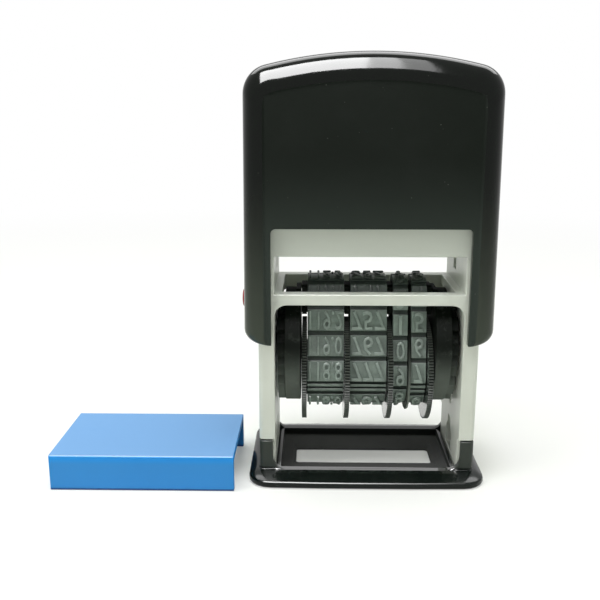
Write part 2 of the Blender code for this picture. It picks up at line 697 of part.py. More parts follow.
def make_spring(stamp, steel):
    """The return spring, standing round the post in the loft and reaching the hood's ceiling."""
    low = LOFT_FLOOR + SPRING_WIRE + SEAT_GAP
    high = HOOD_CEILING - SPRING_WIRE - SEAT_GAP
    curve = bpy.data.curves.new("return_spring", "CURVE")
    curve.dimensions = "3D"
    curve.bevel_depth = SPRING_WIRE
    curve.bevel_resolution = 1
    curve.use_fill_caps = True
    spline = curve.splines.new("POLY")
    count = SPRING_TURNS * SPRING_POINTS
    spline.points.add(count)
    for index, place in enumerate(spline.points):
        turn = 2 * math.pi * index / SPRING_POINTS
        height = low + (high - low) * index / count
        place.co = (SPRING_RADIUS * math.cos(turn), SPRING_RADIUS * math.sin(turn), height, 1)
    holder = add_object("spring_path", curve, CUTTERS)
    bpy.context.view_layer.update()
    mesh = bpy.data.meshes.new_from_object(holder.evaluated_get(bpy.context.evaluated_depsgraph_get()))
    bpy.data.objects.remove(holder, do_unlink=True)
    add_object("return_spring", mesh, material=steel, parent=stamp)


def cheek_outline():
    axle = WHEEL_AXLE_HEIGHT
    return hull_outline([(0, FLIP_AXIS_HEIGHT, CHEEK_RADIUS), (0, axle, CHEEK_HEEL_RADIUS)], CHEEK_STEPS)


def reach_of(outline, centre, turn):
    """How far a convex outline reaches from a point inside it, in one direction."""
    reaches = []
    for first, second in zip(outline, outline[1:] + outline[:1]):
        normal = (second[1] - first[1], first[0] - second[0])
        facing = normal[0] * math.cos(turn) + normal[1] * math.sin(turn)
        if facing > 0:
            offset = normal[0] * (first[0] - centre[0]) + normal[1] * (first[1] - centre[1])
            reaches.append(offset / facing)
    return min(reaches)


def ratchet_outline():
    """Hooked notches round the rim by which the unit's end is located, down to the drum's heel."""
    middle = (0, FLIP_AXIS_HEIGHT)
    heel = (0, WHEEL_AXLE_HEIGHT, CHEEK_HEEL_RADIUS - MERGE_OVERLAP)
    rim = hull_outline([(*middle, RATCHET_RADIUS), heel], CHEEK_STEPS)
    points = []
    for tooth in range(RATCHET_TEETH):
        for share, drop in RATCHET_SHARES:
            turn = 2 * math.pi * (tooth + share + RATCHET_SHIFT_SHARE) / RATCHET_TEETH
            reach = reach_of(rim, middle, turn) - drop * RATCHET_DEPTH
            points.append(on_circle(middle, reach, turn))
    return points


def make_cheeks(unit, black):
    """The print unit's two ends, each with its trunnion, its ratchet rim and an ear for the bridge."""
    home = (0, 0, -FLIP_AXIS_HEIGHT)
    ear = round_box(EAR_WIDTH / 2, FLIP_AXIS_HEIGHT, BAND_FACE - EAR_DROP, (0, BRIDGE_ROUND))
    ear_outer = CHEEK_INNER + EAR_THICKNESS
    for way, name in ((-1, "cheek_left"), (1, "cheek_right")):
        def span(first, second):
            return sorted((way * first, way * second))
        drum = prism("X", [cheek_outline()], *span(CHEEK_INNER, CHEEK_STEP))
        cheek = add_object(name, drum, material=black, parent=unit, location=home)
        ratchet = prism("X", [ratchet_outline()], *span(CHEEK_STEP - SEAT_GAP, CHEEK_OUTER))
        boolean(cheek, ratchet, "UNION")
        trunnion_ends = span(CHEEK_OUTER - SEAT_GAP, TRUNNION_END)
        trunnion = cylinder("X", (0, FLIP_AXIS_HEIGHT), TRUNNION_RADIUS, *trunnion_ends)
        boolean(cheek, trunnion, "UNION")
        boolean(cheek, prism("X", [ear], *span(CHEEK_INNER, ear_outer)), "UNION")
        seat_ends = span(CHEEK_INNER - OVERRUN, CHEEK_INNER + AXLE_SEAT)
        boolean(cheek, cylinder("X", (0, WHEEL_AXLE_HEIGHT), AXLE_RADIUS + TURN_GAP, *seat_ends))
        boolean(cheek, tenon(*span(CHEEK_INNER - OVERRUN, ear_outer + OVERRUN), TURN_GAP))


def tenon(start, end, margin):
    """The bridge's end peg, or with a margin the slot that it fits in an ear."""
    half = TENON_WIDTH / 2 + margin
    low, high = (BRIDGE_BOTTOM + (BRIDGE_TOP - BRIDGE_BOTTOM) * share for share in TENON_SHARES)
    return box((start, -half, low - margin), (end, half, high + margin))


def stack():
    """Where each disc, band and the divider starts and ends along X, from left to right."""
    order = [("wheel_1", WHEEL_THICKNESS), ("band_1", None), ("wheel_2", WHEEL_THICKNESS)]
    order += [("band_2", None), ("wheel_3", WHEEL_THICKNESS), ("band_3", YEAR_TENS_BAND)]
    order += [("divider", DIVIDER_THICKNESS), ("band_4", YEAR_UNITS_BAND), ("wheel_4", WHEEL_THICKNESS)]
    used = sum(width for _, width in order if width) + WHEEL_FACE_GAP * (len(order) - 1)
    wide_band = (2 * STACK_SIDE - used) / 2
    order = [(name, width or wide_band) for name, width in order]
    place = -STACK_SIDE
    spans = {}
    for name, width in order:
        spans[name] = (place, place + width)
        place += width + WHEEL_FACE_GAP
    return spans


def make_axle(unit, steel):
    reach = CHEEK_INNER + AXLE_SEAT - SEAT_GAP
    axle = cylinder("X", (0, WHEEL_AXLE_HEIGHT), AXLE_RADIUS, -reach, reach)
    add_object("wheel_axle", axle, material=steel, parent=unit, location=(0, 0, -FLIP_AXIS_HEIGHT))


def make_bridge(unit, black, spans):
    """The bar that the bands turn over, with a plate each side of every band."""
    home = (0, 0, -FLIP_AXIS_HEIGHT)
    reach = CHEEK_INNER - TURN_GAP
    bar_half = BRIDGE_HALF_WIDTH + BRIDGE_ROUND
    bar_outline = round_box(bar_half, BRIDGE_BOTTOM, BRIDGE_TOP, (BRIDGE_ROUND, BRIDGE_ROUND))
    bar = prism("X", [bar_outline], -reach, reach)
    bridge = add_object("band_bridge", bar, material=black, parent=unit, location=home)
    half = PARTITION_WIDTH / 2
    for name in ("wheel_1", "wheel_2", "wheel_3", "wheel_4"):
        low, high = spans[name]
        boolean(bridge, box((low, -half, BRIDGE_BOTTOM), (high, half, BRIDGE_TOP - PARTITION_DROP)), "UNION")
    low, high = spans["divider"]
    slot_high = (high + TURN_GAP, half, divider_top() + TURN_GAP)
    boolean(bridge, box((low - TURN_GAP, -half, BRIDGE_BOTTOM - OVERRUN), slot_high))
    peg = CHEEK_INNER + EAR_THICKNESS
    boolean(bridge, tenon(-peg, MERGE_OVERLAP - reach, 0), "UNION")
    boolean(bridge, tenon(reach - MERGE_OVERLAP, peg, 0), "UNION")
    return bridge


def divider_top():
    return BRIDGE_BOTTOM + (BRIDGE_TOP - BRIDGE_BOTTOM) * DIVIDER_TOP_SHARE


def make_divider(unit, black, spans):
    """The thin plate between the two year bands, hung on the axle and let into the bridge."""
    neck = divider_top() - BRIDGE_ROUND
    circles = [(0, WHEEL_AXLE_HEIGHT, DIVIDER_RADIUS)]
    circles += [(DIVIDER_NECK, neck, BRIDGE_ROUND), (-DIVIDER_NECK, neck, BRIDGE_ROUND)]
    bore = arc((0, WHEEL_AXLE_HEIGHT), AXLE_RADIUS + TURN_GAP, 0, 360, ROUND_SIDES)[:-1]
    plate = prism("X", [hull_outline(circles), bore], *spans["divider"])
    add_object("band_divider", plate, material=black, parent=unit, location=(0, 0, -FLIP_AXIS_HEIGHT))


def toothed_outline(centre, radius, teeth, depth):
    points = []
    for tooth in range(teeth):
        for share, drop in WHEEL_TOOTH_SHARES:
            turn = 2 * math.pi * (tooth + share) / teeth
            reach = radius - drop * depth
            points.append((centre[0] + reach * math.cos(turn), centre[1] + reach * math.sin(turn)))
    return points


def make_wheels(unit, black, spans):
    """Four toothed setting wheels on one axle, each with the hub that drives its band."""
    axle = (0, WHEEL_AXLE_HEIGHT)
    wheels = []
    for number in (1, 2, 3, 4):
        pivot = add_empty(f"wheel_{number}_axis", (0, 0, WHEEL_AXLE_HEIGHT - FLIP_AXIS_HEIGHT), unit)
        outline = toothed_outline(axle, WHEEL_RADIUS, WHEEL_TEETH, WHEEL_TOOTH_DEPTH)
        low, high = spans[f"wheel_{number}"]
        disc = prism("X", [outline], low, high)
        wheel = add_object(f"setting_wheel_{number}", disc, material=black, parent=pivot)
        wheel.location = (0, 0, -WHEEL_AXLE_HEIGHT)
        band_low, band_high = spans[f"band_{number}"]
        ends = (high - MERGE_OVERLAP, band_high) if band_low > low else (band_low, low + MERGE_OVERLAP)
        boolean(wheel, cylinder("X", axle, BAND_HUB_RADIUS - TURN_GAP, *ends), "UNION")
        bore_ends = (min(low, band_low) - OVERRUN, max(high, band_high) + OVERRUN)
        boolean(wheel, cylinder("X", axle, AXLE_RADIUS + TURN_GAP, *bore_ends))
        wheels.append(wheel)
    return wheels


def belt_path():
    """The band's path round hub and bridge, as straight runs and arcs on its printing face."""
    hub_radius = BAND_HUB_RADIUS + BAND_THICKNESS + BAND_CELL_HEIGHT
    turn_radius = BRIDGE_ROUND + TURN_GAP + BAND_THICKNESS + BAND_CELL_HEIGHT
    top = BAND_FACE
    turn_height = top - turn_radius
    rise = turn_height - WHEEL_AXLE_HEIGHT
    length = math.hypot(BRIDGE_HALF_WIDTH, rise)
    lean = math.atan2(rise, -BRIDGE_HALF_WIDTH) + math.acos((hub_radius - turn_radius) / length)
    run = math.sqrt(length ** 2 - (hub_radius - turn_radius) ** 2)
    straight_top = ((0, top), (-BRIDGE_HALF_WIDTH, top))
    front_turn = ((-BRIDGE_HALF_WIDTH, turn_height), turn_radius, math.pi / 2, lean)
    rear_turn = ((BRIDGE_HALF_WIDTH, turn_height), turn_radius, math.pi - lean, math.pi / 2)
    hub = ((0, WHEEL_AXLE_HEIGHT), hub_radius, lean, 3 * math.pi - lean)
    path = [("run", BRIDGE_HALF_WIDTH, straight_top, math.pi / 2)]
    path.append(("turn", turn_radius * (lean - math.pi / 2), front_turn, None))
    path.append(("run", run, None, lean))
    path.append(("turn", hub_radius * (3 * math.pi - 2 * lean), hub, None))
    path.append(("run", run, None, math.pi - lean))
    path.append(("turn", turn_radius * (lean - math.pi / 2), rear_turn, None))
    path.append(("run", BRIDGE_HALF_WIDTH, ((BRIDGE_HALF_WIDTH, top), (0, top)), math.pi / 2))
    return path


def on_circle(centre, radius, turn):
    return (centre[0] + radius * math.cos(turn), centre[1] + radius * math.sin(turn))


def belt_point(path, travel, drop):
    """A point a given way round the belt, and a given depth under its printing face."""
    total = sum(part[1] for part in path)
    travel = travel % total
    for index, (kind, length, shape, facing) in enumerate(path):
        if travel <= length or index == len(path) - 1:
            share = min(travel / length, 1)
            if kind == "turn":
                centre, radius, start, end = shape
                return on_circle(centre, radius - drop, start + (end - start) * share)
            if shape is None:
                before = path[index - 1][2]
                after = path[index + 1][2]
                shape = (on_circle(before[0], before[1], before[3]), on_circle(after[0], after[1], after[2]))
            across = shape[0][0] + (shape[1][0] - shape[0][0]) * share - drop * math.cos(facing)
            up = shape[0][1] + (shape[1][1] - shape[0][1]) * share - drop * math.sin(facing)
            return (across, up)
        travel -= length


def belt_stops(path):
    """Distances along the belt at which its outline needs a corner."""
    stops = []
    start = 0
    for kind, length, _, _ in path:
        steps = 1
        if kind == "turn":
            steps = max(2, round(length / BELT_STEP))
        stops += [start + length * step / steps for step in range(steps)]
        start += length
    return stops, start


def make_bands(unit, rubber, spans):
    """Four rubber date bands with raised printing cells and a ribbed blank stretch."""
    path = belt_path()
    stops, total = belt_stops(path)
    cells = int((total - BAND_BLANK) / BAND_CELL_PITCH)
    blank = total - cells * BAND_CELL_PITCH
    rib_pitch = blank / (BAND_RIBS + BAND_GROOVE / BAND_CELL_PITCH)
    inner = [belt_point(path, stop, BAND_THICKNESS + BAND_CELL_HEIGHT) for stop in stops]
    for number, phase, front_cells in zip((1, 2, 3, 4), BAND_PHASES, BAND_FRONT_CELLS):
        start = phase - (BAND_CELL_PITCH - BAND_GROOVE) / 2
        raised = []
        for index in range(cells):
            place = start + index * BAND_CELL_PITCH + (blank if index > front_cells else 0)
            raised.append((place % total, BAND_CELL_PITCH - BAND_GROOVE))
        ribs = start + (front_cells + 1) * BAND_CELL_PITCH - RIB_LEAD_SHARE * BAND_GROOVE
        for index in range(BAND_RIBS):
            raised.append(((ribs + index * rib_pitch) % total, rib_pitch * RIB_SHARE))
        outline = raised_outline(path, stops, total, raised)
        mesh = prism("X", [outline, inner], *spans[f"band_{number}"])
        home = (0, 0, -FLIP_AXIS_HEIGHT)
        add_object(f"date_band_{number}", mesh, material=rubber, parent=unit, location=home)


def raised_outline(path, stops, total, raised):
    """The belt's outer outline, stepping up at the start of each raised part and down at its end."""
    def is_raised(travel):
        return any((travel - start) % total < length for start, length in raised)
    edges = [edge % total for start, length in raised for edge in (start, start + length)]
    outline = []
    for travel in sorted(stops + edges):
        before = is_raised(travel - MERGE_DISTANCE)
        after = is_raised(travel + MERGE_DISTANCE)
        if travel in edges:
            outline.append(belt_point(path, travel, 0 if before else BAND_CELL_HEIGHT))
            outline.append(belt_point(path, travel, 0 if after else BAND_CELL_HEIGHT))
        elif min(abs(travel - edge) for edge in edges) > SEAT_GAP / 2:
            outline.append(belt_point(path, travel, 0 if after else BAND_CELL_HEIGHT))
    return outline


def make_tray(blue):
    """The ink pad's tray, lying face down beside the stamp."""
    side = TRAY_SIDE
    front = TRAY_FRONT
    height = PAD_WINDOW_HEIGHT
    wall = TRAY_WALL
    deck = height - wall
    outline = round_box(front, 0, height, (0, TRAY_EDGE), 2)
    case = prism("X", [outline], -side, side)
    tray = add_object("ink_pad_tray", case, material=blue, location=(TRAY_X, TRAY_Y, 0))
    end = side - TRAY_END_INSET
    boolean(tray, box((wall - side, wall - front, -OVERRUN), (end - wall, front - wall, deck)))
    boolean(tray, box((end, wall - front, -OVERRUN), (side + OVERRUN, front - wall, deck)))
    notch = front - TRAY_NOTCH_MARGIN
    boolean(tray, box((end - wall - OVERRUN, -notch, -OVERRUN), (end + OVERRUN, notch, TRAY_NOTCH_HEIGHT)))


def make_felt(felt):
    """The pad itself: a block of inked felt set back inside the tray."""
    margin = TRAY_WALL + FELT_GAP
    right = TRAY_SIDE - TRAY_END_INSET - margin
    low = (margin - TRAY_SIDE, margin - TRAY_FRONT, FELT_RECESS)
    high = (right, TRAY_FRONT - margin, PAD_WINDOW_HEIGHT - margin)
    add_object("ink_pad_felt", box(low, high), material=felt, location=(TRAY_X, TRAY_Y, 0))


def main():
    clear_scene()
    black = plastic("black_plastic", (0.012, 0.013, 0.012), 0.22)
    inner_black = plastic("unit_plastic", (0.02, 0.021, 0.02), 0.42)
    grey = plastic("grey_plastic", (0.60, 0.62, 0.56), 0.38)
    red = plastic("red_plastic", (0.24, 0.01, 0.015), 0.3)
    steel = plastic("bright_steel", (0.62, 0.63, 0.65), 0.25, 1.0)
    rubber = plastic("band_rubber", (0.11, 0.14, 0.12), 0.7)
    blue = plastic("blue_plastic", (0.05, 0.26, 0.62), 0.4)
    felt = plastic("inked_felt", (0.02, 0.02, 0.05), 0.95)
    stamp = add_empty("stamp", (STAMP_X, STAMP_Y, 0))
    make_foot(stamp, black)
    make_frame(stamp, grey)
    make_spring(stamp, steel)
    hood = make_hood(stamp, black)
    make_buttons(hood, red)
    unit = add_empty("print_unit", (0, 0, FLIP_AXIS_HEIGHT), hood)
    spans = stack()
    make_cheeks(unit, inner_black)
    make_axle(unit, steel)
    make_bridge(unit, inner_black, spans)
    make_divider(unit, inner_black, spans)
    make_wheels(unit, inner_black, spans)
    make_bands(unit, rubber, spans)
    make_tray(blue)
    make_felt(felt)
    for item in collection(PARTS).objects:
        if item.type == "MESH":
            smooth(item)


main()
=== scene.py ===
"""A self-inking date stamp on a white desk, with its blue ink pad taken out and lying beside it.

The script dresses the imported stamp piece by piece, in the order a fitter would put it together:
foot, frame, spring, print unit, bands, hood, buttons, and last the pad. Lengths are in metres.
"""

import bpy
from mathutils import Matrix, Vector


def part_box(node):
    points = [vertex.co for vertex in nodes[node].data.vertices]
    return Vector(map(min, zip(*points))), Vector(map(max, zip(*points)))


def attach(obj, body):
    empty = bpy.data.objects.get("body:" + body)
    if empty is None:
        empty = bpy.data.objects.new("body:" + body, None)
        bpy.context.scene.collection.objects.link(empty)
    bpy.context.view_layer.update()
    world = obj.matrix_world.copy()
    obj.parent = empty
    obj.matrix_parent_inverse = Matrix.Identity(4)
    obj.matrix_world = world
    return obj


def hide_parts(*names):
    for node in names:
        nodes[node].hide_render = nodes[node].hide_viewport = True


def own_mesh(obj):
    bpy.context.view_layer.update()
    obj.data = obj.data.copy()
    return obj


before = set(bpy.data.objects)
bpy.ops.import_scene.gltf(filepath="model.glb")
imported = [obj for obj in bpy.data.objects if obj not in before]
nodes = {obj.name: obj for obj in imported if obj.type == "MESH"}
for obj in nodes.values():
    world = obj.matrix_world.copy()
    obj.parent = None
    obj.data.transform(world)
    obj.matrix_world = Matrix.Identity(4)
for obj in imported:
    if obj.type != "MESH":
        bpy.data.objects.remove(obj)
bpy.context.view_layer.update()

import math

import bmesh
import bpy
from mathutils import Matrix, Vector
from mathutils.kdtree import KDTree

scene = bpy.context.scene


# The photographer's place
# The stamp was photographed from close in front and a little above, almost square on.
TILT_DOWN = 0.23501
TURN_LEFT = 0.01806
lens = bpy.data.cameras.new("desk camera")
lens.lens = 46.8
lens.sensor_width = 36.0
lens.clip_start = 0.01
camera = bpy.data.objects.new("desk camera", lens)
camera.location = (0.007486, -0.146813, 0.068074)
camera.rotation_euler = (math.pi / 2 - TILT_DOWN, 0.0, TURN_LEFT)
scene.collection.objects.link(camera)
scene.camera = camera
scene.view_settings.view_transform = "Standard"


# Desk, sky and lamps
# A sheet of white paper under soft lamps: a wide one overhead and one from the left. A softbox
# with two thin strips at its edge, and a panel behind, only show as highlights in polished plastic.

# Each lamp's place, aim, size and watts, and if it shows in reflections alone or never in them.
LAMPS = {
    "overhead": ((0.0, -0.04, 0.62), (0, 0, 0.02), (0.60, 0.50), 4.3, False),
    "left window": ((-0.55, -0.30, 0.42), (0, 0, 0.04), (0.30, 0.40), 1.2, False),
    "gloss softbox": ((-0.13, -0.22, 0.46), (-0.13, -0.01, 0.075), (0.34, 0.34), 21.5, True),
    "gloss softbox edge": ((0.065, -0.22, 0.46), (0.065, -0.01, 0.075), (0.05, 0.34), 1.7, True),
    "gloss softbox fringe": ((0.115, -0.22, 0.46), (0.115, -0.01, 0.075), (0.05, 0.34), 0.7, True),
    "gloss rear panel": ((0.06, 0.22, 0.47), (0.06, 0, 0.075), (0.90, 0.24), 5.0, True),
}
for name, (place, aim, size, watts, gloss_only) in LAMPS.items():
    light = bpy.data.lights.new(name, "AREA")
    light.shape = "RECTANGLE"
    light.size, light.size_y = size
    light.energy = watts
    holder = bpy.data.objects.new(name, light)
    holder.location = place
    holder.rotation_euler = (Vector(aim) - Vector(place)).to_track_quat("-Z", "Y").to_euler()
    holder.visible_diffuse = not gloss_only
    holder.visible_glossy = gloss_only
    scene.collection.objects.link(holder)


def wired(tree, kind, settings, sockets):
    """Adds a node to the sky or the paper, with its settings, then its sockets' values or links."""
    new = tree.nodes.new("ShaderNode" + kind)
    for setting, value in settings.items():
        setattr(new, setting, value)
    for socket, value in sockets.items():
        if isinstance(value, bpy.types.NodeSocket):
            tree.links.new(value, new.inputs[socket])
        else:
            new.inputs[socket].default_value = value
    return new


def seen_rays(tree):
    """1 for a ray from the camera, a reflection or glass, and 0 for one that only gives light."""
    ray = wired(tree, "LightPath", {}, {})
    bounced = wired(tree, "Math", {"operation": "ADD"}, {
        0: ray.outputs["Is Glossy Ray"], 1: ray.outputs["Is Transmission Ray"]})
    seen = wired(tree, "Math", {"operation": "ADD", "use_clamp": True}, {
        0: ray.outputs["Is Camera Ray"], 1: bounced.outputs[0]})
    return seen.outputs[0]


sky = bpy.data.worlds.new("white room")
sky.use_nodes = True
scene.world = sky
room = sky.node_tree
room.nodes.clear()
dim = wired(room, "Background", {}, {"Color": (0.98, 1.0, 0.97, 1), "Strength": 0.33})
white = wired(room, "Background", {}, {"Color": (1, 1, 1, 1), "Strength": 1.0})
choice = wired(room, "MixShader", {}, {0: seen_rays(room), 1: dim.outputs[0], 2: white.outputs[0]})
wired(room, "OutputWorld", {}, {"Surface": choice.outputs[0]})

DESK_HALF = 1.6
DESK_DROP = 0.00005
WHITE_START = 0.10
WHITE_END = 0.45
NEAR_WHITE_SHARE = 0.47
SHADED_HALF = (0.0200, 0.00875, 0)
SHADED_BEHIND = 0.00575
SHADE_START = 0.0015
SHADE_END = 0.0130
SHADE_WHITE_SHARE = 0.10
WINDOW_PAINTED_GLOW = 0.38
stamp_x = sum(corner[0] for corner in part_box("skeleton_frame")) / 2
stamp_y = sum(corner[1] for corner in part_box("skeleton_frame")) / 2

desk_form = bmesh.new()
bmesh.ops.create_grid(desk_form, x_segments=1, y_segments=1, size=DESK_HALF)
desk_mesh = bpy.data.meshes.new("desk paper")
desk_form.to_mesh(desk_mesh)
desk_form.free()
desk_mesh.transform(Matrix.Translation((0, 0, -DESK_DROP)))
desk = bpy.data.objects.new("desk_paper", desk_mesh)
scene.collection.objects.link(desk)

# Far from the stamp the sheet shows as pure white. Nearer, and most of all in the stamp's shade,
# the matt paper's own light and shadow show through. Under the stamp, in its print window, a
# painted glow lifts the shaded paper.
paper = bpy.data.materials.new("desk paper")
paper.use_nodes = True
sheet = paper.node_tree
sheet.nodes.clear()
spot = wired(sheet, "TexCoord", {}, {})
far = wired(sheet, "VectorMath", {"operation": "LENGTH"}, {0: spot.outputs["Object"]})
far_white = wired(sheet, "MapRange", {"interpolation_type": "SMOOTHSTEP"}, {
    "Value": far.outputs["Value"], "From Min": WHITE_START, "From Max": WHITE_END,
    "To Min": NEAR_WHITE_SHARE})
from_stamp = wired(sheet, "VectorMath", {"operation": "SUBTRACT"}, {
    0: spot.outputs["Object"], 1: (stamp_x, stamp_y + SHADED_BEHIND, 0)})
either_way = wired(sheet, "VectorMath", {"operation": "ABSOLUTE"}, {0: from_stamp.outputs[0]})
beyond = wired(sheet, "VectorMath", {"operation": "SUBTRACT"}, {0: either_way.outputs[0], 1: SHADED_HALF})
outside = wired(sheet, "VectorMath", {"operation": "MAXIMUM"}, {0: beyond.outputs[0], 1: (0, 0, 0)})
clear = wired(sheet, "VectorMath", {"operation": "LENGTH"}, {0: outside.outputs[0]})
shade = wired(sheet, "MapRange", {"interpolation_type": "SMOOTHSTEP"}, {
    "Value": clear.outputs["Value"], "From Min": SHADE_START, "From Max": SHADE_END,
    "To Min": SHADE_WHITE_SHARE})
# Painted glow: inside the stamp's outline the sheet shows more white than in its shade around it.
window = wired(sheet, "MapRange", {"interpolation_type": "SMOOTHSTEP"}, {
    "Value": clear.outputs["Value"], "From Max": SHADE_START,
    "To Min": WINDOW_PAINTED_GLOW, "To Max": 0.0})
unshaded = wired(sheet, "Math", {"operation": "MAXIMUM"}, {0: shade.outputs[0], 1: window.outputs[0]})
open_desk = wired(sheet, "Math", {"operation": "MULTIPLY"}, {
    0: far_white.outputs[0], 1: unshaded.outputs[0]})
bright = wired(sheet, "Math", {"operation": "MULTIPLY"}, {0: seen_rays(sheet), 1: open_desk.outputs[0]})
matt = wired(sheet, "BsdfDiffuse", {}, {"Color": (0.92, 0.94, 0.88, 1)})
glow = wired(sheet, "Emission", {}, {"Color": (1, 1, 1, 1), "Strength": 1.0})
both = wired(sheet, "MixShader", {}, {0: bright.outputs[0], 1: matt.outputs[0], 2: glow.outputs[0]})
wired(sheet, "OutputMaterial", {}, {"Surface": both.outputs[0]})
desk_mesh.materials.append(paper)


# Foot
# The foot is one black moulding: a bowed flange round an open window, with a raised rim and a
# socket at each end that the frame's legs press down into. It is polished outside, dull inside.
class Wire:
    """A shader socket that Python's own + - and * turn into Math nodes."""

    def __init__(self, tree, socket):
        self.tree = tree
        self.socket = socket

    def reckon(self, operation, first, second):
        """One Math node on two wires or numbers."""
        sum_node = self.tree.nodes.new("ShaderNodeMath")
        sum_node.operation = operation
        for slot, value in zip(sum_node.inputs, (first, second)):
            if isinstance(value, Wire):
                self.tree.links.new(value.socket, slot)
            else:
                slot.default_value = value
        return Wire(self.tree, sum_node.outputs[0])

    def __add__(self, other):
        return self.reckon("ADD", self, other)

    __radd__ = __add__

    def __sub__(self, other):
        return self.reckon("SUBTRACT", self, other)

    def __rsub__(self, other):
        return self.reckon("SUBTRACT", other, self)

    def __mul__(self, other):
        return self.reckon("MULTIPLY", self, other)

    __rmul__ = __mul__

    def size(self):
        """The wire's value without its sign."""
        return self.reckon("ABSOLUTE", self, 0.0)


class Finish:
    """One procedural surface finish: a Principled shader and the nodes that vary it."""

    def __init__(self, name, constants):
        self.material = bpy.data.materials.new(name)
        self.material.use_nodes = True
        self.tree = self.material.node_tree
        self.shader = self.tree.nodes["Principled BSDF"]
        for socket, value in constants.items():
            self.shader.inputs[socket].default_value = value
        self.place = self.node("TexCoord", {}, {}, "Object")
        self.facing = self.node("TexCoord", {}, {}, "Normal")

    def node(self, kind, settings, sockets, output=0):
        """Adds a node of a type, with its settings first and then its sockets' values or links."""
        new = self.tree.nodes.new("ShaderNode" + kind)
        for setting, value in settings.items():
            setattr(new, setting, value)
        for socket, value in sockets.items():
            if isinstance(value, Wire):
                self.tree.links.new(value.socket, new.inputs[socket])
            else:
                new.inputs[socket].default_value = value
        return Wire(self.tree, new.outputs[output])

    def along(self, axis, vector=None):
        """One part of the place on the piece, or of another vector: 0 is X, 1 is Y, 2 is Z."""
        return self.node("SeparateXYZ", {}, {"Vector": vector or self.place}, axis)

    def vary(self, socket, wire):
        """Lets a wire drive one of the shader's sockets."""
        self.tree.links.new(wire.socket, self.shader.inputs[socket])

    def noise(self, scale, detail=3.0, roughness=0.55):
        """Smooth blotches, from 0 to 1, with a scale in features per metre."""
        sockets = {"Vector": self.place, "Scale": scale, "Detail": detail, "Roughness": roughness}
        return self.node("TexNoise", {}, sockets, "Fac")

    def blend(self, share, first, second):
        """A colour part of the way from the first to the second."""
        sockets = {0: share, 6: first, 7: second}
        return self.node("Mix", {"data_type": "RGBA"}, sockets, 2)

    def ramp(self, wire, low, high):
        """0 below low, 1 above high, and smooth between."""
        sockets = {"Value": wire, "From Min": low, "From Max": high}
        return self.node("MapRange", {"interpolation_type": "SMOOTHSTEP"}, sockets)

    def bump(self, height, distance, strength):
        """A dented surface: how deep it is dented, in metres, and how strongly it shows."""
        sockets = {"Height": height, "Distance": distance, "Strength": strength}
        return self.node("Bump", {}, sockets)

    def dust(self, amount=1.0):
        """Sparse specks of lint, from 0 to 1."""
        sockets = {"Vector": self.place, "Scale": 900.0}
        cells = self.node("TexVoronoi", {"feature": "F1"}, sockets, "Distance")
        speck = 1 - self.ramp(cells, 0.04, 0.10)
        return speck * self.ramp(self.noise(260.0, 2.0), 0.56, 0.66) * amount


def linear(red, green, blue):
    """A colour as it is read off a screen, 0 to 255, as the shader wants it."""
    def one(value):
        value /= 255
        return value / 12.92 if value <= 0.04045 else ((value + 0.055) / 1.055) ** 2.4
    return (one(red), one(green), one(blue), 1.0)


MERGE_DISTANCE = 0.000002
FLAT_ANGLE = math.radians(0.6)


def joined(mesh):
    """Merges a CAD copy's loose triangles and joins those that lie in one plane."""
    form = bmesh.new()
    form.from_mesh(mesh)
    bmesh.ops.remove_doubles(form, verts=form.verts, dist=MERGE_DISTANCE)
    bmesh.ops.dissolve_limit(form, angle_limit=FLAT_ANGLE, verts=form.verts, edges=form.edges)
    bmesh.ops.recalc_face_normals(form, faces=form.faces)
    form.to_mesh(mesh)
    form.free()
    return mesh


def settled(piece):
    """Turns a piece's modifiers into plain mesh."""
    graph = bpy.context.evaluated_depsgraph_get()
    mesh = bpy.data.meshes.new_from_object(piece.evaluated_get(graph))
    piece.modifiers.clear()
    piece.data = mesh
    return piece


def eased(name, mesh, width, corner=33):
    """A piece with its hard edges rounded to a small radius, as they come from a mould.

    Edges that turn by more than the corner's degrees are hard.
    """
    piece = bpy.data.objects.new(name, mesh)
    scene.collection.objects.link(piece)
    mesh.shade_smooth()
    bevel = piece.modifiers.new("Rounded edges", "BEVEL")
    bevel.width = width
    bevel.segments = 2
    bevel.limit_method = "ANGLE"
    bevel.angle_limit = math.radians(corner)
    bevel.use_clamp_overlap = False
    bevel.miter_outer = "MITER_ARC"
    even = piece.modifiers.new("Even shading", "WEIGHTED_NORMAL")
    even.keep_sharp = False
    even.weight = 80
    return settled(piece)


def dressed(name, title, finish, body, width):
    """A CAD node's rounded copy, in its finish, riding on its body in the node's place."""
    piece = eased(title, joined(nodes[name].data.copy()), width)
    piece.data.materials.clear()
    piece.data.materials.append(finish.material)
    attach(piece, body)
    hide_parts(name)
    return piece


FOOT_EDGE = 0.00016

# Each pair is where the edge of a zone of the finish starts and ends, from the foot's middle
# or up from the desk.
WINDOW_SIDE = (0.0160, 0.0164)
WINDOW_FRONT = (0.0092, 0.00935)
SOCKET_FOOT = (0.0025, 0.0030)
SOCKET_INNER = (0.0180, 0.0185)
SOCKET_OUTER = (0.0196, 0.0199)
SOCKET_FRONT = (0.0098, 0.0101)
RIM_TOP = (0.0020, 0.0022)
RIM_END = (0.0168, 0.0176)
RIM_NEAR = (-0.0085, -0.0070)
foot_black = Finish("foot black", {"Specular IOR Level": 0.2, "Coat IOR": 1.9, "Coat Roughness": 0.04})
across = (foot_black.along(0) - stamp_x).size()
behind = foot_black.along(1) - stamp_y
deep = behind.size()
high = foot_black.along(2)
inside = (1 - foot_black.ramp(across, *WINDOW_SIDE)) * (1 - foot_black.ramp(deep, *WINDOW_FRONT))
socket = foot_black.ramp(high, *SOCKET_FOOT)
rim_long = 1 - foot_black.ramp(across, *RIM_END)
rim = foot_black.ramp(high, *RIM_TOP) * (1 - socket) * (1 - inside) * rim_long
between = foot_black.ramp(across, *SOCKET_INNER) * (1 - foot_black.ramp(across, *SOCKET_OUTER))
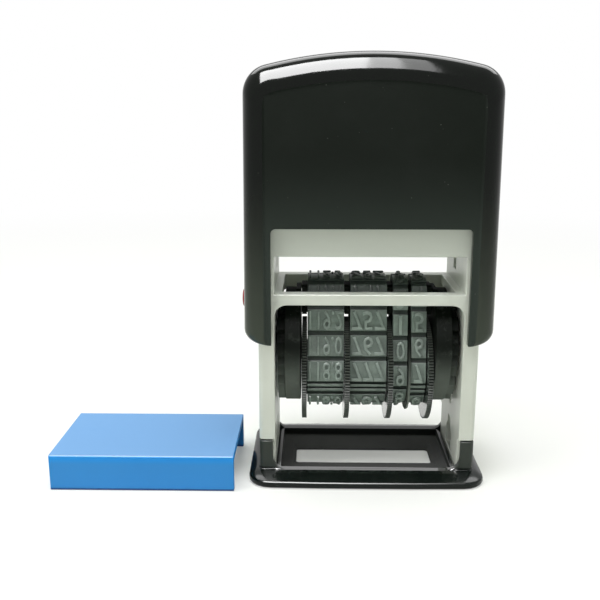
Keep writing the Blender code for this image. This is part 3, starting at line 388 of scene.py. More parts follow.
lining = between * (1 - foot_black.ramp(deep, *SOCKET_FRONT)) * socket
near_side = 1 - foot_black.ramp(behind, *RIM_NEAR)
grain = foot_black.noise(5200.0, 2.0)
sink = foot_black.noise(150.0, 2.0)
rubbed = foot_black.ramp(foot_black.noise(60.0, 4.0, 0.7), 0.35, 0.75)
# Painted light and shade: the sockets are painted lighter where light falls on them, and their linings
# and the window are painted dark as shade.
outer = foot_black.blend(socket, linear(16, 22, 19), linear(50, 56, 50))
black_with_painted_light = foot_black.blend(inside + lining, outer, linear(17, 21, 16))
foot_black.vary("Base Color", foot_black.blend(foot_black.dust(0.35), black_with_painted_light, linear(120, 126, 116)))
polish = 0.13 + 0.10 * rubbed + 0.08 * foot_black.dust()
foot_black.vary("Roughness", polish + 0.80 * inside + 0.20 * socket + 0.50 * lining)
foot_black.vary("Coat Weight", rim * near_side)
foot_black.vary("Normal", foot_black.bump(sink + 0.03 * grain, 0.00006, 0.35))
dressed("base_foot", "foot_dressed", foot_black, "base", FOOT_EDGE)


# Skeleton frame
# The frame is pale grey plastic: two broad legs, a cross bar and a closed box on top, moulded in
# one. It snaps into the foot, and its windows let the pad in and the date be read.
FRAME_EDGE = 0.00014
HOOD_SHADE = (0.0405, 0.0435)
frame_grey = Finish("frame grey", {"Specular IOR Level": 0.4})
flow = frame_grey.noise(90.0, 3.0)
grain = frame_grey.noise(4200.0, 2.0)
handled = frame_grey.ramp(frame_grey.noise(210.0, 5.0, 0.65), 0.55, 0.80)
tint = frame_grey.blend(frame_grey.ramp(flow, 0.3, 0.7), linear(204, 208, 197), linear(210, 214, 204))
under_hood = frame_grey.ramp(frame_grey.along(2), *HOOD_SHADE)
shaded = frame_grey.blend(under_hood, tint, linear(192, 197, 187))
soiled = frame_grey.blend(handled * 0.22, shaded, linear(176, 181, 168))
frame_grey.vary("Base Color", frame_grey.blend(frame_grey.dust(0.3), soiled, linear(120, 122, 116)))
frame_grey.vary("Roughness", 0.30 + 0.14 * handled + 0.05 * grain)
frame_grey.vary("Normal", frame_grey.bump(grain + 2.0 * flow, 0.00002, 0.35))
dressed("skeleton_frame", "frame_dressed", frame_grey, "base", FRAME_EDGE)


# Return spring
# A coil of drawn steel wire round a post in the frame's box lifts the hood after each stamp.
# It stands on the box's floor under the hood's ceiling, which shortens it by the stroke in use;
# the coil keeps the length it has in model.glb.
wire_steel = Finish("drawn wire", {"Metallic": 1.0})
drawn = wire_steel.noise(2600.0, 3.0, 0.7)
wire_steel.vary("Base Color", wire_steel.blend(drawn, linear(186, 188, 192), linear(214, 215, 217)))
wire_steel.vary("Roughness", 0.18 + 0.22 * drawn)
coil_mesh = nodes["return_spring"].data.copy()
coil_mesh.shade_smooth()
coil_mesh.materials.clear()
coil_mesh.materials.append(wire_steel.material)
coil = bpy.data.objects.new("return_spring_coil", coil_mesh)
scene.collection.objects.link(coil)
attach(coil, "base")
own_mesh(coil)
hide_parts("return_spring")


# Print unit: cheeks, bridge, divider and axle
# Two black nylon cheeks carry the wheels' steel axle and the bridge that the bands turn over.
# Each cheek is a drum with a notched ring outside it, and a trunnion that the unit turns on.
CHEEK_EDGE = 0.00013
BRIDGE_EDGE = 0.00006
AXLE_EDGE = 0.0001
DRUM_SHADE = (0.014, 0.027)
unit_black = Finish("unit black", {"Specular IOR Level": 0.02})
worn = unit_black.ramp(unit_black.noise(420.0, 4.0, 0.7), 0.5, 0.8)
fine = unit_black.noise(6000.0, 2.0)
# Painted light and shade: the cheeks are painted lighter low down, where light from the desk falls, and
# dark higher up in the hood's shade.
shaded = unit_black.ramp(unit_black.along(2), *DRUM_SHADE)
black_with_painted_light = unit_black.blend(shaded, linear(112, 119, 112), linear(16, 20, 16))
scuffs = worn * 0.3 + unit_black.dust(0.3)
unit_black.vary("Base Color", unit_black.blend(scuffs, black_with_painted_light, linear(96, 102, 95)))
unit_black.vary("Roughness", 0.60 + 0.16 * worn + 0.06 * fine)
unit_black.vary("Normal", unit_black.bump(fine + 1.5 * worn, 0.000015, 0.5))
for name in ("cheek_left", "cheek_right"):
    dressed(name, f"{name}_dressed", unit_black, "print_unit", CHEEK_EDGE)
for name in ("band_bridge", "band_divider"):
    dressed(name, f"{name}_dressed", unit_black, "print_unit", BRIDGE_EDGE)

axle_steel = Finish("turned steel", {"Metallic": 1.0})
turning = {"Vector": axle_steel.place, "Scale": 900.0, "Distortion": 1.5}
rings = axle_steel.node("TexWave", {"bands_direction": "X"}, turning, "Fac")
axle_steel.vary("Base Color", axle_steel.blend(rings, linear(160, 162, 166), linear(196, 198, 200)))
axle_steel.vary("Roughness", 0.22 + 0.16 * rings)
dressed("wheel_axle", "wheel_axle_dressed", axle_steel, "print_unit", AXLE_EDGE)


# Setting wheels
# Four thin black discs with fine teeth that a fingertip turns. A hub on one face of each
# drives its rubber band, and all four run loose on the steel axle.
AXLE_Z = 0.01925
WHEEL_TEETH = 112
WHEEL_RADIUS = 0.0100
TOOTH_DEPTH = 0.00042
DISC_THICK = 0.0009
HUB_RADIUS = 0.00545
HUB_LAP = 0.0004
WHEEL_CORNER = math.radians(28)
HUB_SIDES = 64
BORE_RADIUS = 0.00165
BORE_SIDES = 48
BORE_REACH = 0.05
wheel_black = Finish("wheel black", {"Specular IOR Level": 0.16, "Coat Roughness": 0.16})
scuffed = wheel_black.ramp(wheel_black.noise(700.0, 4.0, 0.7), 0.48, 0.78)
flat = wheel_black.ramp(wheel_black.along(0, wheel_black.facing).size(), 0.85, 0.95)
sideways = wheel_black.node("VectorMath", {"operation": "MULTIPLY"}, {0: wheel_black.place, 1: (0, 1, 1)})
from_axle = wheel_black.node("VectorMath", {"operation": "DISTANCE"}, {
    0: sideways, 1: (0, stamp_y, AXLE_Z)}, "Value")
# Tooth tips lighter and roots darker: partly wear on the tips, partly a painted highlight on the tips and
# painted shade between the teeth.
tooth_tip = wheel_black.ramp(from_axle, WHEEL_RADIUS - TOOTH_DEPTH, WHEEL_RADIUS - 0.1 * TOOTH_DEPTH)
tip = tooth_tip * (1 - flat)
black_with_painted_light = wheel_black.blend(tip, linear(20, 24, 20), linear(72, 78, 72))
wheel_black.vary("Base Color", wheel_black.blend(scuffed * 0.5, black_with_painted_light, linear(100, 106, 98)))
wheel_black.vary("Roughness", 0.40 + 0.25 * scuffed)
wheel_black.vary("Coat Weight", flat)
wheel_black.vary("Normal", wheel_black.bump(wheel_black.noise(5200.0, 2.0), 0.00001, 0.5))


def tree_of(name, inputs):
    """An empty Geometry Nodes tree with named inputs and one shape going in and out."""
    tree = bpy.data.node_groups.new(name, "GeometryNodeTree")
    tree.interface.new_socket("Geometry", in_out="INPUT", socket_type="NodeSocketGeometry")
    for title, kind, value in inputs:
        socket = tree.interface.new_socket(title, in_out="INPUT", socket_type="NodeSocket" + kind)
        socket.default_value = value
    tree.interface.new_socket("Geometry", in_out="OUTPUT", socket_type="NodeSocketGeometry")
    return tree


def add(tree, kind, settings=None, **sockets):
    """Adds a Geometry Nodes node; a socket's value is a number, a vector or another socket.

    A socket goes by its title, or by its number after an n.
    """
    new = tree.nodes.new(kind)
    for setting, value in (settings or {}).items():
        setattr(new, setting, value)
    for title, value in sockets.items():
        numbered = title[0] == "n" and title[1:].isdigit()
        slot = new.inputs[int(title[1:]) if numbered else title]
        if isinstance(value, bpy.types.NodeSocket):
            tree.links.new(value, slot)
        else:
            slot.default_value = value
    return new


def grow(name, tree, values):
    """A new piece that a Geometry Nodes tree makes from these input values, as plain mesh."""
    piece = bpy.data.objects.new(name, bpy.data.meshes.new(name))
    scene.collection.objects.link(piece)
    run = piece.modifiers.new("Grow", "NODES")
    run.node_group = tree
    for item in tree.interface.items_tree:
        if item.item_type == "SOCKET" and item.in_out == "INPUT" and item.name in values:
            run[item.identifier] = values[item.name]
    return settled(piece)


wheel_tree = tree_of("toothed wheel", [
    ("Teeth", "Int", WHEEL_TEETH),
    ("Radius", "Float", WHEEL_RADIUS),
    ("Tooth depth", "Float", TOOTH_DEPTH),
    ("Disc low", "Float", 0.0),
    ("Disc high", "Float", DISC_THICK),
    ("Hub radius", "Float", HUB_RADIUS),
    ("Hub low", "Float", 0.0),
    ("Hub high", "Float", DISC_THICK),
    ("Bore", "Float", BORE_RADIUS),
    ("Centre", "Vector", (0, 0, 0)),
    ("Finish", "Material", None),
])
given = add(wheel_tree, "NodeGroupInput").outputs
double = add(wheel_tree, "ShaderNodeMath", {"operation": "MULTIPLY"}, n0=given["Teeth"], n1=2.0)


def drum(radius, low, high, sides):
    """A cylinder between two places on the wheel's axis: nodes for its shape and its place."""
    length = add(wheel_tree, "ShaderNodeMath", {"operation": "SUBTRACT"}, n0=high, n1=low)
    total = add(wheel_tree, "ShaderNodeMath", {"operation": "ADD"}, n0=high, n1=low)
    middle = add(wheel_tree, "ShaderNodeMath", {"operation": "MULTIPLY"}, n0=total.outputs[0], n1=0.5)
    shape = add(wheel_tree, "GeometryNodeMeshCylinder", {"fill_type": "NGON"},
                Vertices=sides, Radius=radius, Depth=length.outputs[0])
    place = add(wheel_tree, "ShaderNodeCombineXYZ", None, Z=middle.outputs[0])
    return shape, place


disc, disc_place = drum(given["Radius"], given["Disc low"], given["Disc high"], double.outputs[0])
index = add(wheel_tree, "GeometryNodeInputIndex")
odd = add(wheel_tree, "ShaderNodeMath", {"operation": "MODULO"}, n0=index.outputs[0], n1=2.0)
share = add(wheel_tree, "ShaderNodeMath", {"operation": "DIVIDE"},
            n0=given["Tooth depth"], n1=given["Radius"])
cut = add(wheel_tree, "ShaderNodeMath", {"operation": "MULTIPLY"}, n0=odd.outputs[0], n1=share.outputs[0])
keep = add(wheel_tree, "ShaderNodeMath", {"operation": "SUBTRACT"}, n0=1.0, n1=cut.outputs[0])
spot = add(wheel_tree, "GeometryNodeInputPosition")
squeeze = add(wheel_tree, "ShaderNodeCombineXYZ", None, X=keep.outputs[0], Y=keep.outputs[0], Z=1.0)
drawn_in = add(wheel_tree, "ShaderNodeVectorMath", {"operation": "MULTIPLY"},
               n0=spot.outputs[0], n1=squeeze.outputs[0])
toothed = add(wheel_tree, "GeometryNodeSetPosition", None,
              Geometry=disc.outputs["Mesh"], Position=drawn_in.outputs[0])
toothed_placed = add(wheel_tree, "GeometryNodeTransform", None,
                     Geometry=toothed.outputs[0], Translation=disc_place.outputs[0])
hub, hub_place = drum(given["Hub radius"], given["Hub low"], given["Hub high"], HUB_SIDES)
hub_placed = add(wheel_tree, "GeometryNodeTransform", None,
                 Geometry=hub.outputs["Mesh"], Translation=hub_place.outputs[0])
bore, bore_place = drum(given["Bore"], -BORE_REACH, BORE_REACH, BORE_SIDES)
bore_placed = add(wheel_tree, "GeometryNodeTransform", None,
                  Geometry=bore.outputs["Mesh"], Translation=bore_place.outputs[0])
whole = add(wheel_tree, "GeometryNodeMeshBoolean", {"operation": "UNION", "solver": "EXACT"})
for part in (toothed_placed, hub_placed):
    wheel_tree.links.new(part.outputs[0], whole.inputs["Mesh 2"])
bored = add(wheel_tree, "GeometryNodeMeshBoolean", {"operation": "DIFFERENCE", "solver": "EXACT"})
wheel_tree.links.new(whole.outputs[0], bored.inputs["Mesh 1"])
wheel_tree.links.new(bore_placed.outputs[0], bored.inputs["Mesh 2"])
upright = add(wheel_tree, "GeometryNodeTransform", None, Geometry=bored.outputs[0],
              Translation=given["Centre"], Rotation=(math.pi / 2, 0.0, math.pi / 2))
real = add(wheel_tree, "GeometryNodeRealizeInstances", None, Geometry=upright.outputs[0])
coloured = add(wheel_tree, "GeometryNodeSetMaterial", None,
               Geometry=real.outputs[0], Material=given["Finish"])
wheel_end = add(wheel_tree, "NodeGroupOutput")
wheel_tree.links.new(coloured.outputs[0], wheel_end.inputs[0])

for number in (1, 2, 3, 4):
    low, high = (corner[0] - stamp_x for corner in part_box(f"setting_wheel_{number}"))
    hub_on_right = number != 4
    disc_span = (low, low + DISC_THICK) if hub_on_right else (high - DISC_THICK, high)
    hub_span = (disc_span[1] - HUB_LAP, high) if hub_on_right else (low, disc_span[0] + HUB_LAP)
    wheel = grow(f"setting_wheel_{number}_fine", wheel_tree, {
        "Disc low": disc_span[0],
        "Disc high": disc_span[1],
        "Hub low": hub_span[0],
        "Hub high": hub_span[1],
        "Centre": (stamp_x, stamp_y, AXLE_Z),
        "Finish": wheel_black.material,
    })
    wheel.data.set_sharp_from_angle(angle=WHEEL_CORNER)
    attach(wheel, f"wheel_{number}")
    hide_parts(f"setting_wheel_{number}")


# Date bands
# Four belts of grey moulded rubber run round the wheels' hubs and over the bridge. Each block
# carries its figures in relief, mirrored so that they print the right way round.
BAND_EDGE = 0.00009
PRINTED_ROW = (0.0335, 0.0352)
band_rubber = Finish("band rubber", {"Specular IOR Level": 0.35})
powder = band_rubber.ramp(band_rubber.noise(520.0, 4.0, 0.65), 0.35, 0.75)
pores = band_rubber.noise(5200.0, 3.0)
spent = band_rubber.ramp(band_rubber.noise(240.0, 3.0), 0.50, 0.80)
grey = band_rubber.blend(powder, linear(106, 120, 111), linear(126, 141, 131))
printed = band_rubber.ramp(band_rubber.along(2), *PRINTED_ROW)
worked = band_rubber.blend(spent * 0.35, grey, linear(60, 70, 64))
band_rubber.vary("Base Color", band_rubber.blend(printed, worked, linear(62, 73, 66)))
band_rubber.vary("Roughness", 0.42 + 0.16 * powder)
band_rubber.vary("Normal", band_rubber.bump(pores + 2.0 * powder, 0.00002, 0.6))

BELT_TOP = 0.0378
BELT_FLAT = 0.0016
TURN_RADIUS = 0.0023
HUB_FACE = 0.00695
CELL_PITCH = 0.00485
CELLS = 13
FIGURE_HEIGHT = 0.0036
FIGURE_RELIEF = 0.00042
FIGURE_ROUND = 0.00013
FIGURE_THIN = 0.00006
FIGURE_BASE = -0.00006
FIGURE_SINK = 0.00002
FIGURE_CORNER = math.radians(40)
CAPITAL_SHARE = 0.72
WIDE_SHARE = 0.92
NARROW_SHARE = 0.62
SLICE = 0.0006
WELD = 0.000001
FACE_STEPS = 1600
GROOVE_LINE = 0.00025
SIDE_FACING = 0.7

turn_z = BELT_TOP - TURN_RADIUS
rise = turn_z - AXLE_Z
reach = math.hypot(BELT_FLAT, rise)
lean = math.atan2(rise, -BELT_FLAT) + math.acos((HUB_FACE - TURN_RADIUS) / reach)
slope = math.sqrt(reach ** 2 - (HUB_FACE - TURN_RADIUS) ** 2)
turn_length = TURN_RADIUS * (lean - math.pi / 2)
hub_length = HUB_FACE * (3 * math.pi - 2 * lean)
belt_length = 2 * (BELT_FLAT + turn_length + slope) + hub_length
blank = belt_length - CELLS * CELL_PITCH


def belt(travel):
    """Forward place, height and facing of the printing face, a way round the belt from its top."""
    travel = travel % belt_length
    if travel > belt_length / 2:
        across, up, facing = belt(belt_length - travel)
        return -across, up, math.pi - facing
    if travel <= BELT_FLAT:
        return -travel, BELT_TOP, math.pi / 2
    travel -= BELT_FLAT
    if travel <= turn_length:
        facing = math.pi / 2 + travel / TURN_RADIUS
        across = -BELT_FLAT + TURN_RADIUS * math.cos(facing)
        return across, turn_z + TURN_RADIUS * math.sin(facing), facing
    travel -= turn_length
    if travel <= slope:
        across = -BELT_FLAT + TURN_RADIUS * math.cos(lean) + travel * math.cos(lean + math.pi / 2)
        return across, turn_z + TURN_RADIUS * math.sin(lean) + travel * math.sin(lean + math.pi / 2), lean
    facing = lean + (travel - slope) / HUB_FACE
    return HUB_FACE * math.cos(facing), AXLE_Z + HUB_FACE * math.sin(facing), facing


def figures(words, width):
    """Relief figures lying flat: centred on zero, drawn in to fit a block of this width."""
    text = bpy.data.curves.new("figures", "FONT")
    text.body = words
    text.size = FIGURE_HEIGHT / CAPITAL_SHARE
    text.align_x = "CENTER"
    text.resolution_u = 2
    text.extrude = FIGURE_RELIEF / 2
    text.bevel_depth = FIGURE_ROUND
    text.bevel_resolution = 1
    text.offset = -FIGURE_THIN
    holder = bpy.data.objects.new("figures", text)
    scene.collection.objects.link(holder)
    graph = bpy.context.evaluated_depsgraph_get()
    mesh = bpy.data.meshes.new_from_object(holder.evaluated_get(graph))
    bpy.data.objects.remove(holder)
    form = bmesh.new()
    form.from_mesh(mesh)
    bmesh.ops.remove_doubles(form, verts=form.verts, dist=WELD)
    xs = [vert.co.x for vert in form.verts]
    ys = [vert.co.y for vert in form.verts]
    squeeze = min(1.0, width / (max(xs) - min(xs)))
    stretch = FIGURE_HEIGHT / (max(ys) - min(ys))
    middle_x = (max(xs) + min(xs)) / 2
    middle_y = (max(ys) + min(ys)) / 2
    for vert in form.verts:
        vert.co.x = (vert.co.x - middle_x) * squeeze
        vert.co.y = (vert.co.y - middle_y) * stretch
        vert.co.z = max(vert.co.z, FIGURE_BASE)
    cuts = int(FIGURE_HEIGHT / SLICE)
    for step in range(-cuts // 2, cuts // 2 + 1):
        everything = form.verts[:] + form.edges[:] + form.faces[:]
        level = (0, step * SLICE, 0)
        bmesh.ops.bisect_plane(form, geom=everything, dist=WELD, plane_co=level, plane_no=(0, 1, 0))
    return form


# Painted shade: faces sunk in the bands' grooves get a darker rubber, for the shade in them.
groove_shade_rubber = Finish("band groove", {"Roughness": 0.7, "Specular IOR Level": 0.2})
groove_shade_mottle = groove_shade_rubber.noise(900.0, 4.0, 0.7)
groove_shade_rubber.vary("Base Color", groove_shade_rubber.blend(groove_shade_mottle, linear(46, 54, 49), linear(68, 79, 72)))
# The figures are painted lighter than the band's face, a painted highlight on the relief, and darker in
# blotches where they are inked.
figure_rubber = Finish("band figures", {"Roughness": 0.45, "Specular IOR Level": 0.4})
inked = figure_rubber.ramp(figure_rubber.noise(480.0, 3.0), 0.40, 0.75)
printed = figure_rubber.ramp(figure_rubber.along(2), *PRINTED_ROW)
inked_and_painted_light = figure_rubber.blend(inked, linear(140, 154, 145), linear(116, 130, 121))
figure_rubber.vary("Base Color", figure_rubber.blend(printed, inked_and_painted_light, linear(58, 67, 61)))
figure_rubber.vary("Normal", figure_rubber.bump(figure_rubber.noise(5200.0, 3.0), 0.00002, 0.6))
printing_face = KDTree(FACE_STEPS)
for step in range(FACE_STEPS):
    across, up, facing = belt(belt_length * step / FACE_STEPS)
    printing_face.insert((across, up, 0), step)
printing_face.balance()

# Each band's number, how far its first figure lies past the top, which figure comes last before
# the ribbed stretch, counted from 0, and the figures.
BAND_FACTS = (
    (1, 0.0010, 4, [f"{119.6 - 0.2 * step:.1f}" for step in range(CELLS)]),
    (2, 0.0010, 4, [str(737 + 10 * step) for step in range(CELLS)]),
    (3, 0.0019, 8, [str((13 - step) % 10) for step in range(CELLS)]),
    (4, 0.0013, 4, [str((3 + step) % 10) for step in range(CELLS)]),
)
for number, phase, last_in_front, values in BAND_FACTS:
    title = f"date_band_{number}"
    band = dressed(title, f"{title}_dressed", band_rubber, "print_unit", BAND_EDGE)
    band.data.materials.append(groove_shade_rubber.material)
    # Sunk faces that do not face sideways take the grooves' painted shade.
    for face in band.data.polygons:
        spot = (face.center.y - stamp_y, face.center.z, 0)
        sunk = printing_face.find(spot)[2] > GROOVE_LINE
        face.material_index = int(sunk and abs(face.normal.x) < SIDE_FACING)
    low, high = (corner[0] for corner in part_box(title))
    relief = bmesh.new()
    for index, value in enumerate(values):
        centre = phase + index * CELL_PITCH + (blank if index > last_in_front else 0)
        form = figures(value, (high - low) * (WIDE_SHARE if len(value) > 1 else NARROW_SHARE))
        for vert in form.verts:
            across, up, facing = belt(centre + vert.co.y)
            outward = vert.co.z + FIGURE_RELIEF / 2 - FIGURE_SINK
            vert.co = (
                (low + high) / 2 + vert.co.x,
                stamp_y + across + outward * math.cos(facing),
                up + outward * math.sin(facing),
            )
        bmesh.ops.recalc_face_normals(form, faces=form.faces)
        one = bpy.data.meshes.new("figures bent")
        form.to_mesh(one)
        form.free()
        relief.from_mesh(one)
        bpy.data.meshes.remove(one)
    mesh = bpy.data.meshes.new(f"{title}_figures")
    relief.to_mesh(mesh)
    relief.free()
    mesh.shade_smooth()
    mesh.set_sharp_from_angle(angle=FIGURE_CORNER)
    mesh.materials.append(figure_rubber.material)
    raised = bpy.data.objects.new(f"{title}_figures", mesh)
    scene.collection.objects.link(raised)
    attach(raised, "print_unit")


# Hood
# The hood is the hand grip: one deep black moulding, polished on its sides and crown, with a
# matt panel sunk in its front and rear. Its arms reach down and hold the turning print unit.
HOOD_SIDE = 0.0224
HOOD_FRONT = 0.0126
HOOD_TOP = 0.0784
HOOD_ARCH = 0.0780
HOOD_DRAFT = 0.0004
HOOD_CORNER = 0.0050
SIDE_FILLET = 0.0037
TOP_FILLET = 0.0053
ARM_BOTTOM = 0.0272
ARM_CORNER = 0.0025
PANEL_SIDE = 0.0185
PANEL_TOP = 0.0730
PANEL_ARCH = 0.0790
PANEL_RECESS = 0.0002

# Each ring of the panels' cutter: its place before the hood's face, and how much wider it is.
PANEL_LEVELS = ((-PANEL_RECESS, 0.0), (0.0, 0.0005), (0.001, 0.0030))

INNER_SIDE = 0.0208
INNER_FRONT = 0.0110
INNER_CORNER = 0.001
CEILING = 0.0766

# Each ring under the ceiling: how far down it is, in shares of the crown's fillet, and its shares
# of the hollow's half width and half depth.
CEILING_SHARES = (
    (1.06, 1.0, 1.0),
    (0.58, 0.96, 0.93),
    (0.3, 0.84, 0.8),
    (0.11, 0.65, 0.67),
    (0.0, 0.38, 0.5),
)

CUTOUT_SIDE = 0.0177
CUTOUT_TOP = 0.0484
CUTOUT_CORNER = 0.0009
BUTTON_Z = 0.0333
COLLAR_END = 0.02335
COLLAR_RADIUS = 0.0029
COLLAR_ROUND = 0.0003

# The stepped hole for a button: each place along it, with its radius there.
BUTTON_BORE = ((0.0198, 0.00165), (0.0213, 0.00165), (0.02131, 0.00215), (0.0244, 0.00215))

TONGUE_HALF = 0.0036
TONGUE_LOW = 0.0224
TONGUE_HIGH = 0.0306
TONGUE_CORNER = 0.00247
TONGUE_SPAN = (0.0190, 0.0201)
ROOT_LOW = 0.0276
ROOT_SPAN = (0.0198, 0.0211)
PIVOT_Z = 0.025
PIVOT_RADIUS = 0.00135
PIVOT_SPAN = (0.018, 0.0204)
OVERRUN = 0.001
CUT_HALF = 0.02
FILLET_STEPS = 10
HOOD_EDGE = 0.00014
HOOD_CORNER_ANGLE = 30
SIDE_SHADE = (0.026, 0.060)
PANEL_SHADE = (0.040, 0.062)

hood_gloss = Finish("hood gloss", {"Specular IOR Level": 0.16})
ripple = hood_gloss.noise(70.0, 2.0)
haze = hood_gloss.ramp(hood_gloss.noise(45.0, 5.0, 0.7), 0.45, 0.80)
# Painted light: the black is painted lighter low on the sides and arms, where light from the desk falls,
# and darkest at the crown.
toward_crown = hood_gloss.ramp(hood_gloss.along(2), *SIDE_SHADE)
black_with_painted_light = hood_gloss.blend(toward_crown, linear(58, 64, 55), linear(4, 9, 4))
hood_gloss.vary("Base Color", hood_gloss.blend(hood_gloss.dust(0.35), black_with_painted_light, linear(126, 130, 122)))
hood_gloss.vary("Roughness", 0.07 + 0.06 * haze + 0.10 * hood_gloss.dust())
hood_gloss.vary("Normal", hood_gloss.bump(ripple + 0.25 * hood_gloss.noise(420.0, 2.0), 0.00006, 0.5))
hood_matt = Finish("hood matt panel", {"Specular IOR Level": 0.075})
spark = hood_matt.noise(3000.0, 3.0)
rubbed = hood_matt.ramp(hood_matt.noise(38.0, 5.0, 0.7), 0.45, 0.80)
# Painted light: the panel is painted lighter low down, where light from the desk falls.
toward_crown = hood_matt.ramp(hood_matt.along(2), *PANEL_SHADE)
black_with_painted_light = hood_matt.blend(toward_crown, linear(46, 53, 48), linear(6, 14, 6))
hood_matt.vary("Base Color", hood_matt.blend(hood_matt.dust(0.5), black_with_painted_light, linear(118, 122, 114)))
hood_matt.vary("Roughness", 0.40 + 0.10 * rubbed + 0.08 * spark)
hood_matt.vary("Normal", hood_matt.bump(spark, 0.00002, 0.5))


def arc(centre, radius, start, end, steps):
    """Points round part of a circle, in degrees from the first axis."""
    turns = [math.radians(start + (end - start) * step / steps) for step in range(steps + 1)]
    return [(centre[0] + radius * math.cos(turn), centre[1] + radius * math.sin(turn)) for turn in turns]


def circle(radius):
    """48 points round a whole circle."""
    return arc((0, 0), radius, 0, 352.5, 47)


def solid(rings):
    """A closed solid through rings of equal length, with a flat face on each end."""
    form = bmesh.new()
    loops = [[form.verts.new((x + stamp_x, y + stamp_y, z)) for x, y, z in ring] for ring in rings]
    for first, second in zip(loops, loops[1:]):
        for index in range(len(first)):
            after = (index + 1) % len(first)
            form.faces.new((first[index], first[after], second[after], second[index]))
    form.faces.new(loops[0])
    form.faces.new(loops[-1])
    bmesh.ops.recalc_face_normals(form, faces=form.faces)
    mesh = bpy.data.meshes.new("solid")
    form.to_mesh(mesh)
    form.free()
    return mesh


def cut(piece, mesh, operation="DIFFERENCE"):
    """Cuts a solid from a piece, or joins it on, and keeps the result."""
    tool = bpy.data.objects.new("cutter", mesh)
    scene.collection.objects.link(tool)
    change = piece.modifiers.new("Cut", "BOOLEAN")
    change.operation = operation
    change.solver = "EXACT"
    change.material_mode = "TRANSFER"
    change.object = tool
    settled(piece)
    bpy.data.objects.remove(tool)


def front_ring(inset_side, inset_top, depth):
    """The hood's outline from the front, drawn in from its sides and top, and wider lower down."""
    half = HOOD_SIDE - inset_side
    top = HOOD_TOP - inset_top
    inner_arch = HOOD_ARCH - HOOD_CORNER
    corner_x = half - HOOD_CORNER
    corner_z = top - HOOD_ARCH + math.sqrt(inner_arch ** 2 - corner_x ** 2)
    tilt = math.degrees(math.asin(corner_x / inner_arch))
    right = arc((half - ARM_CORNER, ARM_BOTTOM + ARM_CORNER), ARM_CORNER, -90, 0, 8)
    right += arc((corner_x, corner_z), HOOD_CORNER, 0, 90 - tilt, 12)
    over = arc((0, top - HOOD_ARCH), HOOD_ARCH, 90 - tilt, 90 + tilt, 36)[1:-1]
    left = [(-across, up) for across, up in reversed(right)]
    slant = HOOD_DRAFT / HOOD_SIDE / (HOOD_TOP - ARM_BOTTOM)
    return [(across * (1 + slant * (HOOD_TOP - up)), depth, up) for across, up in right + over + left]


def disc_ring(radius, way, place):
    """A ring round a button's axis, for the collar and the hole in it."""
    return [(way * place, across, BUTTON_Z + up) for across, up in circle(radius)]


rings = []
for way in (-1, 1):
    face = []
    for step in range(FILLET_STEPS + 1):
        turn = math.radians(90 * step / FILLET_STEPS)
        inset = 1 - math.sin(turn)
        depth = HOOD_FRONT - SIDE_FILLET * (1 - math.cos(turn))
        face.append(front_ring(SIDE_FILLET * inset, TOP_FILLET * inset, way * depth))
    rings += face if way < 0 else face[::-1]
shell = solid(rings)
hood = bpy.data.objects.new("hood_fine", shell)
scene.collection.objects.link(hood)

# The hood is hollow, with a ceiling that follows the crown and an opening front and rear.
hollow = []
for height, share_x, share_y in ((None, 1.0, 1.0),) + CEILING_SHARES:
    level = ARM_BOTTOM - OVERRUN if height is None else CEILING - height * TOP_FILLET
    centre_x = INNER_SIDE * share_x - INNER_CORNER
    centre_y = INNER_FRONT * share_y - INNER_CORNER
    corners = []
    for (way_x, way_y), start in zip(((1, 1), (-1, 1), (-1, -1), (1, -1)), (0, 90, 180, 270)):
        corners += arc((way_x * centre_x, way_y * centre_y), INNER_CORNER, start, start + 90, 6)
    hollow.append([(x, y, level) for x, y in corners])
cut(hood, solid(hollow))
mouth = [(-CUTOUT_SIDE, ARM_BOTTOM - OVERRUN), (CUTOUT_SIDE, ARM_BOTTOM - OVERRUN)]
mouth += arc((CUTOUT_SIDE - CUTOUT_CORNER, CUTOUT_TOP - CUTOUT_CORNER), CUTOUT_CORNER, 0, 90, 8)
mouth += arc((CUTOUT_CORNER - CUTOUT_SIDE, CUTOUT_TOP - CUTOUT_CORNER), CUTOUT_CORNER, 90, 180, 8)
cut(hood, solid([[(x, y, z) for x, z in mouth] for y in (-CUT_HALF, CUT_HALF)]))
hood.data.materials.clear()
hood.data.materials.append(hood_gloss.material)

# The cut that sinks each panel leaves the matt finish on the face that it makes.
for way in (-1, 1):
    levels = []
    for height, spread in PANEL_LEVELS:
        side = PANEL_SIDE + spread
        tilt = math.degrees(math.asin(side / PANEL_ARCH))
        panel = arc((0, PANEL_TOP + spread - PANEL_ARCH), PANEL_ARCH, 90 - tilt, 90 + tilt, 36)
        panel += [(-side, ARM_BOTTOM - OVERRUN), (side, ARM_BOTTOM - OVERRUN)]
        levels.append([(x, way * (HOOD_FRONT + height), z) for x, z in panel])
    plate = solid(levels)
    plate.materials.append(hood_matt.material)
    cut(hood, plate)

